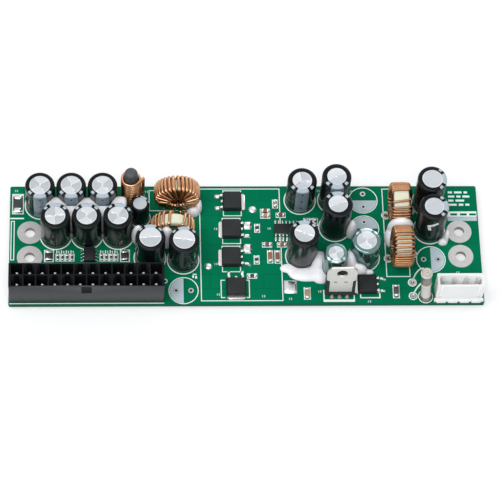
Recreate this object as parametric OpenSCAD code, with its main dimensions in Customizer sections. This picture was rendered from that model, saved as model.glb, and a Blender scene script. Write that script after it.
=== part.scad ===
// DC-DC power supply module: a long circuit board with a 24-way output header at its left end,
// a 4-way input header at its right end, seventeen electrolytic capacitors, four toroids,
// a rod choke, a standing regulator, five flat transistors, two control chips and small chips.
// X runs along the board, Y from its front edge to its back edge, Z up.
// The origin lies under the board's centre, on the plane of the lowest solder joints.

/* [Board] */
// Length of the board
board_w = 160; // [158:1:200]
// Depth of the board, front edge to back edge
board_d = 45; // [44:0.5:60]
// Thickness of the board
board_t = 1.6; // [1:0.1:3.2]
// Radius of the board's corners
board_corner_r = 0.6; // [0.2:0.1:1.5]
// Height of a solder joint under the board
joint_h = 1.4; // [0.8:0.1:3]
// Solder around a lead, beyond the lead on each side
joint_collar = 0.6; // [0.3:0.05:0.7]
// Room around a lead in its hole, on each side
lead_room = 0.15; // [0.08:0.01:0.3]

/* [Mounting holes] */
// Diameter of a mounting hole
hole_d = 3.6; // [2.5:0.1:5]
// Distance from an end of the board to the holes beside it
hole_inset = 6.9; // [5:0.1:8]
// Distance between the two holes at one end
hole_spacing = 9.4; // [9:0.1:10.5]
// Diameter of the tinned ring around a hole
ring_pad_d = 8.6; // [6.5:0.1:9]
// Thickness of the tinned pads
pad_t = 0.1; // [0.05:0.01:0.15]

/* [Capacitors] */
// Diameter of the main capacitors over the sleeve
cap_d = 10; // [8:0.1:10.4]
// Height of the capacitors in the left bank
bank_cap_h = 14.6; // [10:0.1:25]
// Height of the two capacitors beside the output header
filter_cap_h = 15.4; // [10:0.1:25]
// Height of the tall capacitors on the right half
tall_cap_h = 17.4; // [12:0.1:25]
// Diameter of the small capacitor beside the rod choke
small_cap_d = 6.4; // [5:0.1:6.8]
// Height of the small capacitor
small_cap_h = 10.6; // [7:0.1:15]
// Height of the two low capacitors behind the regulator
low_cap_h = 12.6; // [9:0.1:16]
// Diameter of the slimmer one of those two
slim_cap_d = 8; // [6.3:0.1:8.4]
// Gap between neighbours in a row
cap_gap = 0.5; // [0.2:0.1:1]
// Gap between the rows of the left bank
row_gap = 1.6; // [0.8:0.1:2]
// Height of a can's foot above the board
cap_standoff = 0.2; // [0.16:0.01:0.5]
// Wall of the shrink sleeve
sleeve_t = 0.15; // [0.1:0.01:0.3]
// How far a sleeve wraps inward over the top of its can
sleeve_lip = 1.35; // [0.9:0.05:2]
// Diameter of a capacitor lead
cap_lead_d = 0.6; // [0.4:0.05:0.8]
// Distance between the leads of a main capacitor
cap_lead_pitch = 5; // [3.5:0.1:6]
// Distance between the leads of the slimmer capacitor
slim_lead_pitch = 3.5; // [2.5:0.1:4]
// Distance between the leads of the small capacitor
small_lead_pitch = 2.5; // [2:0.1:3]

/* [Toroids] */
// Outer diameter of the two cores on the left half
left_core_od = 13.2; // [11:0.1:13.8]
// Height of those two cores along their axis
left_core_h = 3.8; // [3:0.1:4.4]
// Bore of those two cores
left_core_id = 8.4; // [8.2:0.1:9]
// Diameter of the wire on the left half
left_wire_d = 0.95; // [0.6:0.05:0.95]
// Outer diameter of the two cores on the right half
right_core_od = 12.6; // [11:0.1:13.6]
// Height of those two cores along their axis
right_core_h = 5.2; // [4:0.1:6]
// Bore of those two cores
right_core_id = 7.6; // [7.4:0.1:8.4]
// Diameter of the wire on the right half
right_wire_d = 0.85; // [0.5:0.05:0.9]
// Turns on the fully wound toroid, in two layers inside its bore
full_turns = 30; // [20:2:30]
// Turns on the loosely wound toroid
loose_turns = 13; // [10:1:15]
// Turns on each toroid of the right half
right_turns = 17; // [12:1:18]
// How far a winding's tails stand out from the side of the toroid
tail_out = 1.6; // [0:0.1:1.8]
// Height of a toroid's core above the board
core_lift = 0.3; // [0.25:0.05:1]

/* [Rod choke] */
// Diameter of the ferrite rod
rod_d = 4.5; // [3:0.1:5.5]
// Height of the rod above the board
rod_h = 19; // [12:0.5:22]
// Diameter of the wire on the rod
rod_wire_d = 1.15; // [0.7:0.05:1.3]
// Turns on the rod
rod_turns = 12; // [6:1:12]

/* [Output header] */
// Ways in each of the two rows
out_ways = 12; // [8:1:12]
// Distance between neighbouring ways
out_pitch = 4.2; // [3.9:0.1:4.2]
// Height of the shroud
out_h = 12.1; // [9:0.1:15]
// Width of the cell around a pin
out_cell = 3.75; // [3:0.05:3.8]
// Thickness of the shroud's floor
out_floor = 3.2; // [2:0.1:5]
// Outer wall of the shroud beyond the last cell's pitch line, at the two ends
out_rim = 0.6; // [0.3:0.1:1]
// Outer wall of the shroud beyond the cells' pitch lines, at the front and the back
out_side_rim = 0.2; // [0.1:0.05:0.5]
// Height of the pin tips above the board
out_pin_h = 9; // [6:0.1:12]
// Width of a square pin
out_pin_w = 1; // [0.7:0.05:1.2]

/* [Input header] */
// Distance between neighbouring pins
in_pitch = 3.96; // [3.4:0.02:4.2]
// Height of the shroud
in_h = 10; // [7:0.1:14]
// Depth of the shroud, front to back
in_d = 5; // [4.4:0.1:6]
// Wall of the shroud
in_wall = 0.8; // [0.5:0.05:1.1]
// Height of the pin tips above the board
in_pin_h = 9.2; // [6:0.1:12]
// Width of a square pin
in_pin_w = 1.1; // [0.7:0.05:1.2]

/* [Transistors] */
// Length of a transistor's body, tab side to lead side
fet_l = 6.4; // [5:0.1:6.8]
// Width of a transistor's body
fet_w = 6.6; // [5.5:0.1:7]
// Height of a transistor's body
fet_h = 2.3; // [1.6:0.1:3]
// How far the tab stands out of the body
fet_tab = 1.2; // [0.6:0.1:1.4]
// How far the leads reach out of the body
fet_reach = 2.7; // [2:0.1:3]
// Distance from the front transistor to the next one back
fet_front_row = 11.2; // [10.2:0.1:11.6]

/* [Regulator] */
// Width of the metal tab
reg_w = 10.1; // [9:0.1:10.6]
// Height of the tab above the foot of the body
reg_h = 15.6; // [13:0.1:17]
// Thickness of the tab
reg_tab_t = 0.8; // [0.6:0.1:1.6]
// Diameter of the hole in the tab
reg_hole_d = 3.6; // [2.5:0.1:4]
// Thickness of the body, tab included
reg_t = 4.4; // [3.6:0.1:4.5]
// Height of the body's foot above the board
reg_lift = 1.5; // [1:0.1:3]
// Lean of the regulator towards the back, in degrees
reg_lean = 9; // [5:0.5:10]

/* [Small parts] */
// Length of the fourteen-lead control chip
ctrl_l = 8.65; // [8.6:0.05:9.2]
// Width of a control chip's body
ctrl_w = 3.9; // [3.2:0.1:4.4]
// Distance between neighbouring leads of a control chip
ctrl_pitch = 1.27; // [1:0.01:1.3]
// Diameter of the upright fuse
fuse_d = 4.4; // [3:0.1:4.6]
// Height of the upright fuse
fuse_h = 18.5; // [10:0.1:20]
// Length of metal at each end of a chip
chip_cap = 0.4; // [0.2:0.05:0.5]

/* [Hidden] */
$fn = 48;
seat = 0.02;
board_z = joint_h + board_t;

function from_left(x) = x - board_w / 2;
function from_right(x) = board_w / 2 - x;
function from_front(y) = y - board_d / 2;
function from_back(y) = board_d / 2 - y;

// Sizes of the shrouds
out_w = out_ways * out_pitch + 2 * out_rim;
out_d = 2 * out_pitch + 2 * out_side_rim;
in_w = 4 * in_pitch;

// Places along the left half, each worked out from its neighbour
out_x = from_left(0.4) + out_w / 2;
out_y = from_front(0.8) + out_d / 2;
bank_pitch = cap_d + cap_gap;
bank_back_x = from_left(5.5) + cap_d / 2;
bank_front_x = bank_back_x + cap_d / 2 + 0.2;
bank_back_y = from_back(2.3) - cap_d / 2;
bank_front_y = bank_back_y - cap_d - row_gap;
bank_edge_y = bank_front_y - cap_d / 2;
bank_end_x = bank_front_x + 2 * bank_pitch;
small_cap_x = bank_end_x + (cap_d + small_cap_d) / 2 - 0.8;
small_cap_y = bank_front_y + (cap_d + small_cap_d) / 2 - 1.5;
coil_d = rod_d + 2 * rod_wire_d + 8 * seat;
rod_x = bank_back_x + 2 * bank_pitch + (cap_d + coil_d) / 2 + 1.1;
rod_y = from_back(4.9);
filter_x = bank_end_x + cap_d + 0.7;
filter_y = out_y + out_d / 2 + 2.9 + cap_d / 2;
filter_2_x = filter_x + cap_d + 1.2;
left_half_w = left_core_h / 2 + left_wire_d + 2 * seat;
loose_toroid_x = filter_x + 7.6;
loose_toroid_y = filter_y + cap_d / 2 + 0.2 + left_half_w;
full_toroid_x = loose_toroid_x + 1.7;
full_toroid_y = from_back(6.8);
fet_x = filter_2_x + cap_d / 2 + 11.6;
fet_y = from_back(6.4);
fet_front_x = fet_x + 1.1;
fet_front_y = from_front(6);
fet_row = (fet_y - fet_front_y - fet_front_row) / 2;

// Places along the right half, each worked out from the right end
right_cap_x = from_right(hole_inset + ring_pad_d / 2 + 1) - cap_d / 2;
right_cap_y = from_back(1.6) - cap_d / 2;
right_half_w = right_core_h / 2 + right_wire_d + 2 * seat;
right_toroid_x = right_cap_x - cap_d / 2 - 1.8 - right_half_w;
right_toroid_r = right_core_od / 2 + right_wire_d + 2 * seat;
right_toroid_y = from_back(3.3) - right_toroid_r;
right_toroid_2_y = right_toroid_y - 2 * right_toroid_r - 2.2;
empty_x = right_toroid_x - right_half_w - 3.3 - cap_d / 2;
mid_cap_x = empty_x - cap_d - 0.3;
mid_cap_y = from_back(0.6) - cap_d / 2;
end_cap_x = mid_cap_x - cap_d - 1.5;
ctrl_x = end_cap_x - 4.8;
ctrl_y = mid_cap_y - bank_pitch - 1.2;
end_cap_y = mid_cap_y - 2 * bank_pitch - 0.5;
low_cap_y = from_front(12.5) + cap_d / 2;
slim_cap_y = from_front(8.9) + slim_cap_d / 2;
reg_x = mid_cap_x + 0.6;
reg_y = from_front(2.2);
in_x = from_right(0.9) - in_w / 2;
in_y = from_front(1.3) + in_d / 2;
fuse_x = in_x - in_w / 2 - 0.9 - fuse_d / 2;
fuse_y = from_front(2.6);
fuse_pad_x = fuse_x - 4.2;
fuse_pad_y = (fuse_y + right_toroid_2_y - right_toroid_r) / 2 + 1.2;

// Capacitors: place, kind and the direction of the sleeve's stripe in degrees
BANK = [cap_d, bank_cap_h, cap_lead_pitch];
FILTER = [cap_d, filter_cap_h, cap_lead_pitch];
TALL = [cap_d, tall_cap_h, cap_lead_pitch];
LOW = [cap_d, low_cap_h, cap_lead_pitch];
SLIM = [slim_cap_d, low_cap_h, slim_lead_pitch];
SMALL = [small_cap_d, small_cap_h, small_lead_pitch];
CROSS = [0, 90];
LINE = [0];
FORK = [90, 210, 330];
PLAIN = [];
CAPS = [
    [bank_back_x, bank_back_y, BANK, -90, CROSS],
    [bank_back_x + bank_pitch, bank_back_y, BANK, -90, CROSS],
    [bank_back_x + 2 * bank_pitch, bank_back_y, BANK, -90, CROSS],
    [bank_front_x, bank_front_y, BANK, 90, CROSS],
    [bank_front_x + bank_pitch, bank_front_y, BANK, 90, CROSS],
    [bank_end_x, bank_front_y, BANK, 80, CROSS],
    [small_cap_x, small_cap_y, SMALL, 60, PLAIN],
    [filter_x, filter_y, FILTER, 90, LINE],
    [filter_2_x, filter_y - 0.8, FILTER, 90, LINE],
    [end_cap_x, mid_cap_y, BANK, -90, FORK],
    [mid_cap_x, mid_cap_y, TALL, -90, LINE],
    [mid_cap_x, mid_cap_y - bank_pitch, TALL, 90, LINE],
    [end_cap_x - 0.2, end_cap_y, TALL, 90, LINE],
    [empty_x - 0.8, low_cap_y, LOW, 90, CROSS],
    [mid_cap_x - 1, slim_cap_y, SLIM, -90, CROSS],
    [right_cap_x, right_cap_y, TALL, 0, PLAIN],
    [right_cap_x, right_cap_y - bank_pitch, TALL, 0, PLAIN],
];

// Empty capacitor places: middle and the direction of the two holes in degrees
EMPTY_PLACES = [
    [filter_2_x, from_front(5.1), 0],
    [empty_x, mid_cap_y, 90],
    [empty_x, low_cap_y + cap_d + 1, 90],
    [right_cap_x, from_front(16.6), 0],
];
empty_pad_d = 1.9;
empty_hole_d = cap_lead_d + 2 * lead_room;

// Transistors: place and the direction of the tab in degrees
FETS = [
    [fet_x + 0.5, fet_y, 0],
    [fet_x, fet_y - fet_row, 180],
    [fet_x - 0.3, fet_y - 2 * fet_row, 180],
    [fet_front_x, fet_front_y, -90],
    [empty_x - 0.2, from_front(6.8), 180],
];

// Small chips: place, length, width, height and direction in degrees
CHIPS = [
    [from_left(2.7), bank_back_y + 0.5, 6.4, 3.2, 0.6, 90],
    [fet_x + 8.8, fet_y - fet_row + 0.8, 2, 1.25, 0.55, 90],
    [fet_x + 8.3, fet_y - 2 * fet_row - 0.6, 2, 1.25, 0.55, 90],
    [fet_x + 6.6, from_front(10.5), 2, 1.25, 0.55, 0],
    [ctrl_x - 7.2, ctrl_y + 7.5, 2, 1.25, 0.9, 0],
    [ctrl_x - 7.2, ctrl_y + 5.7, 2, 1.25, 0.9, 0],
    [ctrl_x - 3.7, ctrl_y + 10.4, 2, 1.25, 0.9, 90],
    [ctrl_x - 1.9, ctrl_y + 6, 2, 1.25, 0.9, 0],
    [ctrl_x - 6.9, ctrl_y - 5.4, 2, 1.25, 0.9, 0],
    [ctrl_x - 1.8, ctrl_y - 5.4, 2, 1.25, 0.9, 0],
    [ctrl_x - 6, ctrl_y - 9.9, 3.6, 1.3, 0.9, 90],
    [ctrl_x - 3.5, ctrl_y - 10, 3.6, 1.3, 0.9, 90],
    [reg_x - 10.8, from_front(3.9), 3.2, 1.6, 0.9, 90],
    [right_toroid_x - 2.2, from_front(4.5), 3.6, 1.6, 1.2, 90],
    [ctrl_x + 6.6, ctrl_y + 3.4, 1.6, 0.8, 0.5, 90],
    [ctrl_x + 8.4, ctrl_y + 3.4, 1.6, 0.8, 0.5, 90],
    [ctrl_x + 10, ctrl_y + 3.4, 1.6, 0.8, 0.5, 90],
    for (side = [-1, 1]) [out_x + side * 12.8, bank_edge_y - 2.8, 3.2, 2.6, 0.6, 90],
    for (side = [-1, 1], k = [0:3]) [out_x + side * (5 + 1.6 * k), bank_edge_y - 3.4, 1.6, 0.8, 0.5, 90],
];

// Beads of white silicone between tall parts: place, radius and height
GLUE = [
    [end_cap_x + 0.4, low_cap_y - 6, 3.4, 2.2],
    [end_cap_x - 4.6, low_cap_y - 3.4, 2, 1.6],
    [end_cap_x + 4.6, low_cap_y - 7, 3.4, 2.8],
    [end_cap_x + 5.6, low_cap_y - 2.6, 2.8, 5],
    [mid_cap_x + 4.6, slim_cap_y + 0.8, 2.8, 6.5],
    [mid_cap_x + 6.2, slim_cap_y - 1, 1.9, 3.2],
    [empty_x - 2, low_cap_y - cap_d / 2 - 1, 1.3, 2.2],
    [mid_cap_x + 5.2, mid_cap_y - bank_pitch - 3, 1.9, 7],
    [right_cap_x + 4.6, right_cap_y - bank_pitch - 3.6, 1.6, 5],
    [full_toroid_x + 6, full_toroid_y - 4.6, 2.2, 4.4],
    [filter_x - 4.6, filter_y + 3, 1.6, 5],
    [filter_x + cap_d / 2 + 0.6, filter_y + 2.6, 1.9, 7],
    [right_toroid_x, (right_toroid_y + right_toroid_2_y) / 2, 4.4, 9.5],
    [right_toroid_x - 3.4, (right_toroid_y + right_toroid_2_y) / 2 - 1, 2.2, 4.5],
    for (k = [0:2]) [bank_back_x + (k + 0.5) * bank_pitch, bank_front_y + 6.4, 2.4, 12.4],
    for (k = [0:1]) [bank_front_x + (k + 0.5) * bank_pitch, bank_front_y + 2.8, 1.6, 12.4],
];

CAP_NAMES = [for (i = [0:len(CAPS) - 1]) str("capacitor_", i < 9 ? "0" : "", i + 1)];
SLEEVE_NAMES = [for (name = CAP_NAMES) str(name, "_sleeve")];

// Toroids: middle, axis (0 along Y, 90 along X), core diameter, height and bore, wire, turns,
// how far the turns crowd away from the top (1 is until they touch), layers, the side that the first
// tail leaves from, 1 if the last tail leaves from the other side, and the bare angle each side of
// the foot. A core with turns right round it stands on those turns.
left_z = board_z + core_lift + left_core_od / 2;
full_z = left_z + 0.7 * left_wire_d;
right_z = board_z + core_lift + right_core_od / 2 + 0.7 * right_wire_d;
TOROIDS = [
    [[full_toroid_x, full_toroid_y, full_z], 0, left_core_od, left_core_h, left_core_id, left_wire_d,
        full_turns, 0, 2, 1, 0, 10],
    [[loose_toroid_x, loose_toroid_y, left_z], 0, left_core_od, left_core_h, left_core_id, left_wire_d,
        loose_turns, 1, 1, -1, 0, 26],
    for (y = [right_toroid_y, right_toroid_2_y])
        [[right_toroid_x, y, right_z], 90, right_core_od, right_core_h, right_core_id, right_wire_d,
            right_turns, 0.8, 1, 1, 1, 8],
];
bend_c = 0.4;

// Vector helpers
function unit(v) = v / norm(v);
function last(list) = list[len(list) - 1];

// A tube along a path: each ring is turned so that its first side faces the reference direction
function tangent(path, i) =
    unit(path[min(i + 1, len(path) - 1)] - path[max(i - 1, 0)]);
function ring(p, t, ref, r, sides) =
    let (a = unit(ref - (ref * t) * t), b = cross(t, a))
    [for (k = [0:sides - 1]) p + r * (cos(360 * k / sides) * a + sin(360 * k / sides) * b)];
module tube(path, refs, d, sides) {
    points = [for (i = [0:len(path) - 1]) each ring(path[i], tangent(path, i), refs[i], d / 2, sides)];
    end_ring = (len(path) - 1) * sides;
    start_cap = [for (k = [1:sides - 2]) [0, k, k + 1]];
    end_cap = [for (k = [1:sides - 2]) [end_ring, end_ring + k + 1, end_ring + k]];
    walls = [for (i = [0:len(path) - 2], k = [0:sides - 1])
        let (a = i * sides + k, b = i * sides + (k + 1) % sides)
        each [[a, a + sides, b + sides], [a, b + sides, b]]];
    polyhedron(points, concat(start_cap, walls, end_cap));
}

// The eight corners of one turn around a core's section, as radius and distance along the axis.
// Every second turn of a two-layer winding lies over its neighbours inside the bore.
function layer_lift(t, turn) = t[8] == 2 && turn % 2 == 1 ? t[5] * 0.75 : 0;
function turn_corners(t, turn) =
    let (lift = layer_lift(t, turn), off = t[5] / 2 + 2 * seat, ro = t[2] / 2 + off,
        ri = t[4] / 2 - off - lift, wo = t[3] / 2 + off, wi = wo + lift)
    [[ro, bend_c - wo], [ro, wo - bend_c], [ro - bend_c, wo], [ri + bend_c, wi],
        [ri, wi - bend_c], [ri, bend_c - wi], [ri + bend_c, -wi], [ro - bend_c, -wo]];
function touching_angle(t) = 2 * asin((t[5] / 2 + seat) / (t[4] / 2 - t[5] / 2 - 2 * seat));
function crowding(t) = t[7] * max(0, 360 - 2 * t[11] - t[6] * touching_angle(t)) / (2 * PI);
function turn_angle(t, turn) =
    t[11] - 90 + (360 - 2 * t[11]) * turn / t[6] - crowding(t) * sin(360 * turn / t[6]);
function on_axis(v, axis) = axis == 0 ? v : [v[1], -v[0], v[2]];
function winding_points(t) =
    [for (i = [0:8 * t[6] + t[10]])
        let (c = turn_corners(t, floor(i / 8))[i % 8], a = turn_angle(t, i / 8))
        t[0] + on_axis([c[0] * cos(a), t[9] * c[1], c[0] * sin(a)], t[1])];
function winding_refs(t) =
    [for (i = [0:8 * t[6] + t[10]]) let (a = turn_angle(t, i / 8)) on_axis([-sin(a), 0, cos(a)], t[1])];
function dropped(p) = [p[0], p[1], joint_h];
function tail_foot(t, p, way) = dropped(p + on_axis([0, way * t[9] * tail_out, 0], t[1]));
function toroid_feet(t) =
    let (w = winding_points(t))
    [tail_foot(t, w[0], -1), tail_foot(t, last(w), 2 * t[10] - 1)];

// Rod coil: a helix from the board up, which leaves the rod at its right front and drops beside it
coil_r = (coil_d - rod_wire_d) / 2;
coil_pitch = rod_wire_d * 1.04;
coil_steps = 16;
coil_start = 90;
coil_z = board_z + rod_wire_d / 2 + 0.3;
rod_drop_x = max(coil_r * sqrt(2), coil_r + rod_wire_d + 0.05);
function coil_point(i) =
    let (a = coil_start + 360 * i / coil_steps)
    [rod_x + coil_r * cos(a), rod_y + coil_r * sin(a), coil_z + coil_pitch * i / coil_steps];
coil_count = coil_steps * (rod_turns + 0.625);
coil_path = [for (i = [0:coil_count]) coil_point(i)];
coil_refs = [for (i = [0:coil_count]) [coil_point(i)[0] - rod_x, coil_point(i)[1] - rod_y, 0]];
coil_top = last(coil_path);
coil_out = [rod_x + rod_drop_x, rod_y, coil_top[2]];
rod_feet = [dropped(coil_path[0]), dropped(coil_out)];

// Leads that pass through the board: place and width
out_pin_at = [for (row = [-0.5, 0.5], k = [0:out_ways - 1])
    [out_x + (k - (out_ways - 1) / 2) * out_pitch, out_y + row * out_pitch]];
in_pin_at = [for (k = [0:3]) [in_x + (k - 1.5) * in_pitch, in_y + in_d / 2 - in_wall - 0.3 - in_pin_w / 2]];
reg_pitch = 2.54;
reg_lead_w = 0.8;
reg_lead_y = 0.6;
reg_lead_at = [for (k = [-1:1]) [reg_x + k * reg_pitch, reg_y + reg_lead_y]];
fuse_lead_d = 0.7;
function cap_leads(c) =
    [for (s = [-0.5, 0.5]) [c[0] + s * c[2][2] * cos(c[3]), c[1] + s * c[2][2] * sin(c[3])]];
LEADS = concat(
    [for (c = CAPS, p = cap_leads(c)) [p[0], p[1], cap_lead_d]],
    [for (t = TOROIDS, p = toroid_feet(t)) [p[0], p[1], t[5]]],
    [for (p = rod_feet) [p[0], p[1], rod_wire_d]],
    [for (p = out_pin_at) [p[0], p[1], out_pin_w * sqrt(2)]],
    [for (p = in_pin_at) [p[0], p[1], in_pin_w * sqrt(2)]],
    [for (p = reg_lead_at) [p[0], p[1], reg_lead_w * sqrt(2)]],
    [[fuse_x, fuse_y, fuse_lead_d], [fuse_pad_x, fuse_pad_y, fuse_lead_d]]);
WIRE_RINGS = concat(
    [for (k = [2:3], p = toroid_feet(TOROIDS[k])) [p[0], p[1], right_wire_d]],
    [[fuse_pad_x, fuse_pad_y, fuse_lead_d]]);
wire_ring_d = 2.3;
function empty_holes(e) =
    [for (s = [-0.5, 0.5])
        [e[0] + s * cap_lead_pitch * cos(e[2]), e[1] + s * cap_lead_pitch * sin(e[2])]];
EMPTY_HOLES = concat([for (e = EMPTY_PLACES) each empty_holes(e)], [[fuse_pad_x, from_front(2.8)]]);
MOUNT_HOLES = [for (x = [-1, 1], y = [-0.5, 0.5]) [x * from_right(hole_inset), y * hole_spacing]];

// Solder dots and the square pad on the top face
DOTS = [[fet_x - 8.1, fet_y - 2 * fet_row - 3, 2.4], [fet_x + 7.4, fet_y - 2.7, 2.6]];
power_pad = [fet_x + 19.4, from_front(6.3)];
power_pad_size = [4.3, 4.9];

module slab(w, d, h, r) {
    linear_extrude(h)
        union() {
            square([w - 2 * r, d], center = true);
            square([w, d - 2 * r], center = true);
            for (x = [-1, 1], y = [-1, 1])
                translate([x * (w / 2 - r), y * (d / 2 - r)])
                    circle(r);
        }
}

module box_at(x, y, z, w, d, h) {
    translate([x - w / 2, y - d / 2, z])
        cube([w, d, h]);
}

module circuit_board() {
    color("seagreen")
        difference() {
            translate([0, 0, joint_h])
                slab(board_w, board_d, board_t, board_corner_r);
            for (lead = LEADS)
                translate([lead[0], lead[1], 0])
                    cylinder(d = lead[2] + 2 * lead_room, h = board_z + 1);
            for (p = EMPTY_HOLES)
                translate([p[0], p[1], 0])
                    cylinder(d = empty_hole_d, h = board_z + 1);
            for (p = MOUNT_HOLES)
                translate([p[0], p[1], 0])
                    cylinder(d = hole_d, h = board_z + 1);
        }
}

module flat_ring(p, z, outer, inner) {
    translate([p[0], p[1], z])
        difference() {
            cylinder(d = outer, h = pad_t);
            translate([0, 0, -1])
                cylinder(d = inner, h = pad_t + 2);
        }
}

module tinned_pads() {
    color("silver") {
        for (p = MOUNT_HOLES, z = [joint_h - pad_t, board_z])
            flat_ring(p, z, ring_pad_d, hole_d);
        for (p = EMPTY_HOLES, z = [joint_h - pad_t, board_z])
            flat_ring(p, z, empty_pad_d, empty_hole_d);
        for (p = WIRE_RINGS)
            flat_ring(p, board_z, wire_ring_d, p[2] + 2 * lead_room);
        for (dot = DOTS)
            translate([dot[0], dot[1], board_z])
                cylinder(d = dot[2], h = pad_t);
        box_at(power_pad[0], power_pad[1], board_z, power_pad_size[0], power_pad_size[1], pad_t);
    }
}

module solder_joints() {
    color("gainsboro")
        for (lead = LEADS)
            translate([lead[0], lead[1], 0])
                cylinder(d1 = lead[2], d2 = lead[2] + 2 * joint_collar, h = joint_h);
}

// One cell of the output header: square, or with its two back corners cut off
module cell_outline(cut) {
    c = out_cell / 2;
    k = cut ? 1 : 0;
    polygon(cut
        ? [[-c, -c], [c, -c], [c, c - k], [c - k, c], [-c + k, c], [-c, c - k]]
        : [[-c, -c], [c, -c], [c, c], [-c, c]]);
}

// Cut cells come in pairs along a row, and the two rows are out of step
function is_cut(row, k) = floor((k + 1) / 2) % 2 == (row == 0 ? 0 : 1);

latch_w = 3.6;
latch_out = 1.2;
module output_header() {
    color("dimgray")
        difference() {
            union() {
                translate([out_x, out_y, board_z])
                    slab(out_w, out_d, out_h, 0.3);
                translate([out_x + latch_w / 2, out_y + out_d / 2, board_z + out_h - 4.4])
                    rotate([0, -90, 0])
                        linear_extrude(latch_w)
                            polygon([[0, -0.3], [0, latch_out], [0.8, latch_out], [4.2, 0], [4.2, -0.3]]);
            }
            for (i = [0:len(out_pin_at) - 1])
                translate([out_pin_at[i][0], out_pin_at[i][1], board_z + out_floor])
                    linear_extrude(out_h)
                        cell_outline(is_cut(floor(i / out_ways), i % out_ways));
            for (p = out_pin_at)
                box_at(p[0], p[1], board_z - 1, out_pin_w + 2 * seat, out_pin_w + 2 * seat, out_h);
            box_at(out_x, out_y - out_d / 2, board_z + out_h - 5.2, 3.4, 0.4, 4.8);
        }
}

// A square pin with a pyramid point
module pin(p, w, top) {
    point_h = w * 0.7;
    box_at(p[0], p[1], joint_h, w, w, top - joint_h - point_h);
    translate([p[0], p[1], top - point_h])
        rotate(45)
            cylinder(d1 = w * sqrt(2), d2 = w * 0.5 * sqrt(2), h = point_h, $fn = 4);
}

module output_pins() {
    color("silver")
        for (p = out_pin_at)
            pin(p, out_pin_w, board_z + out_pin_h);
}

in_floor = 1.6;
flange_d = 1.3;
flange_h = 1.2;
module input_header() {
    front = in_y - in_d / 2;
    color("whitesmoke")
        difference() {
            union() {
                translate([in_x, in_y, board_z])
                    slab(in_w, in_d, in_h, 0.2);
                box_at(in_x, front - flange_d / 2 + 0.1, board_z, in_w + 0.8, flange_d, flange_h);
            }
            box_at(in_x, in_y, board_z + in_floor, in_w - 2 * in_wall, in_d - 2 * in_wall, in_h);
            for (side = [-1, 1]) {
                box_at(in_x + side * (in_w / 2 - 1.6), front, board_z + flange_h, 0.8, 0.8, in_h);
                box_at(in_x + side * (in_w / 2 - 0.9), front, board_z + flange_h, 1.4, 1, 0.8);
            }
            for (k = [-2:2])
                translate([in_x + k * in_pitch, front - flange_d, board_z - 1])
                    cylinder(d = 1, h = flange_h + 2);
            for (p = in_pin_at)
                box_at(p[0], p[1], board_z - 1, in_pin_w + 2 * seat, in_pin_w + 2 * seat, in_h);
        }
}

module input_pins() {
    color("silver")
        for (p = in_pin_at)
            pin(p, in_pin_w, board_z + in_pin_h);
}

// Toroid cores are rings with rounded corners
core_corner = 0.6;
module around(t) {
    translate(t[0])
        rotate([0, 0, -t[1]])
            rotate([90, 0, 0])
                children();
}
module toroid_core(t) {
    color(t[1] == 0 ? "palegoldenrod" : "khaki")
        around(t)
            rotate_extrude()
                translate([(t[2] + t[4]) / 4, 0])
                    core_section((t[2] - t[4]) / 2, t[3]);
}
module core_section(w, h) {
    square([w - 2 * core_corner, h], center = true);
    square([w, h - 2 * core_corner], center = true);
    for (x = [-1, 1], y = [-1, 1])
        translate([x * (w / 2 - core_corner), y * (h / 2 - core_corner)])
            circle(core_corner);
}

// Toroid windings start and end as tails that go down through the board
module toroid_winding(t) {
    points = winding_points(t);
    refs = winding_refs(t);
    feet = toroid_feet(t);
    rise = [0, 0, board_t + 0.8];
    path = concat([feet[0], feet[0] + rise], points, [feet[1] + rise, feet[1]]);
    color("peru")
        tube(path, concat([refs[0], refs[0]], refs, [last(refs), last(refs)]), t[5], 6);
}

module rod_core() {
    top_r = 0.5;
    color("dimgray")
        translate([rod_x, rod_y, board_z])
            rotate_extrude()
                polygon([[0, 0], [rod_d / 2, 0], [rod_d / 2, rod_h - top_r], [rod_d / 2 - top_r, rod_h],
                    [0, rod_h]]);
}

module rod_winding() {
    below = rod_feet[0];
    path = concat([below], coil_path, [coil_out - [rod_wire_d / 2, 0, 0]],
        [coil_out - [0, 0, rod_wire_d / 2]], [rod_feet[1]]);
    side = [0, -1, 0];
    color("peru")
        tube(path, concat([coil_refs[0]], coil_refs, [side, side, side]), rod_wire_d, 6);
}

// The regulator is drawn upright, its tab's front face on the plane y = 0, and then leaned back
reg_neck_w = 7.8;
reg_neck_z = 9;
module reg_outline() {
    half = reg_w / 2;
    neck = reg_neck_w / 2;
    polygon([[-neck, 2.4], [neck, 2.4], [neck, reg_neck_z - 0.7], [half, reg_neck_z], [half, reg_h - 1.8],
        [half - 1.4, reg_h], [1.4 - half, reg_h], [-half, reg_h - 1.8], [-half, reg_neck_z],
        [-neck, reg_neck_z - 0.7]]);
}
module leaned() {
    translate([reg_x, reg_y, board_z + reg_lift])
        rotate([-reg_lean, 0, 0])
            children();
}
module reg_plate() {
    translate([0, reg_tab_t, 0])
        rotate([90, 0, 0])
            linear_extrude(reg_tab_t)
                reg_outline();
}
reg_hole_z = reg_h - 3;
module regulator_tab() {
    color("silver") {
        leaned()
            difference() {
                reg_plate();
                translate([0, -1, reg_hole_z])
                    rotate([-90, 0, 0])
                        cylinder(d = reg_hole_d, h = reg_tab_t + 2);
            }
        for (p = reg_lead_at)
            translate([p[0] - reg_lead_w / 2, 0, 0])
                rotate([90, 0, 90])
                    linear_extrude(reg_lead_w)
                        polygon(reg_lead_side());
    }
}
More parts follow.
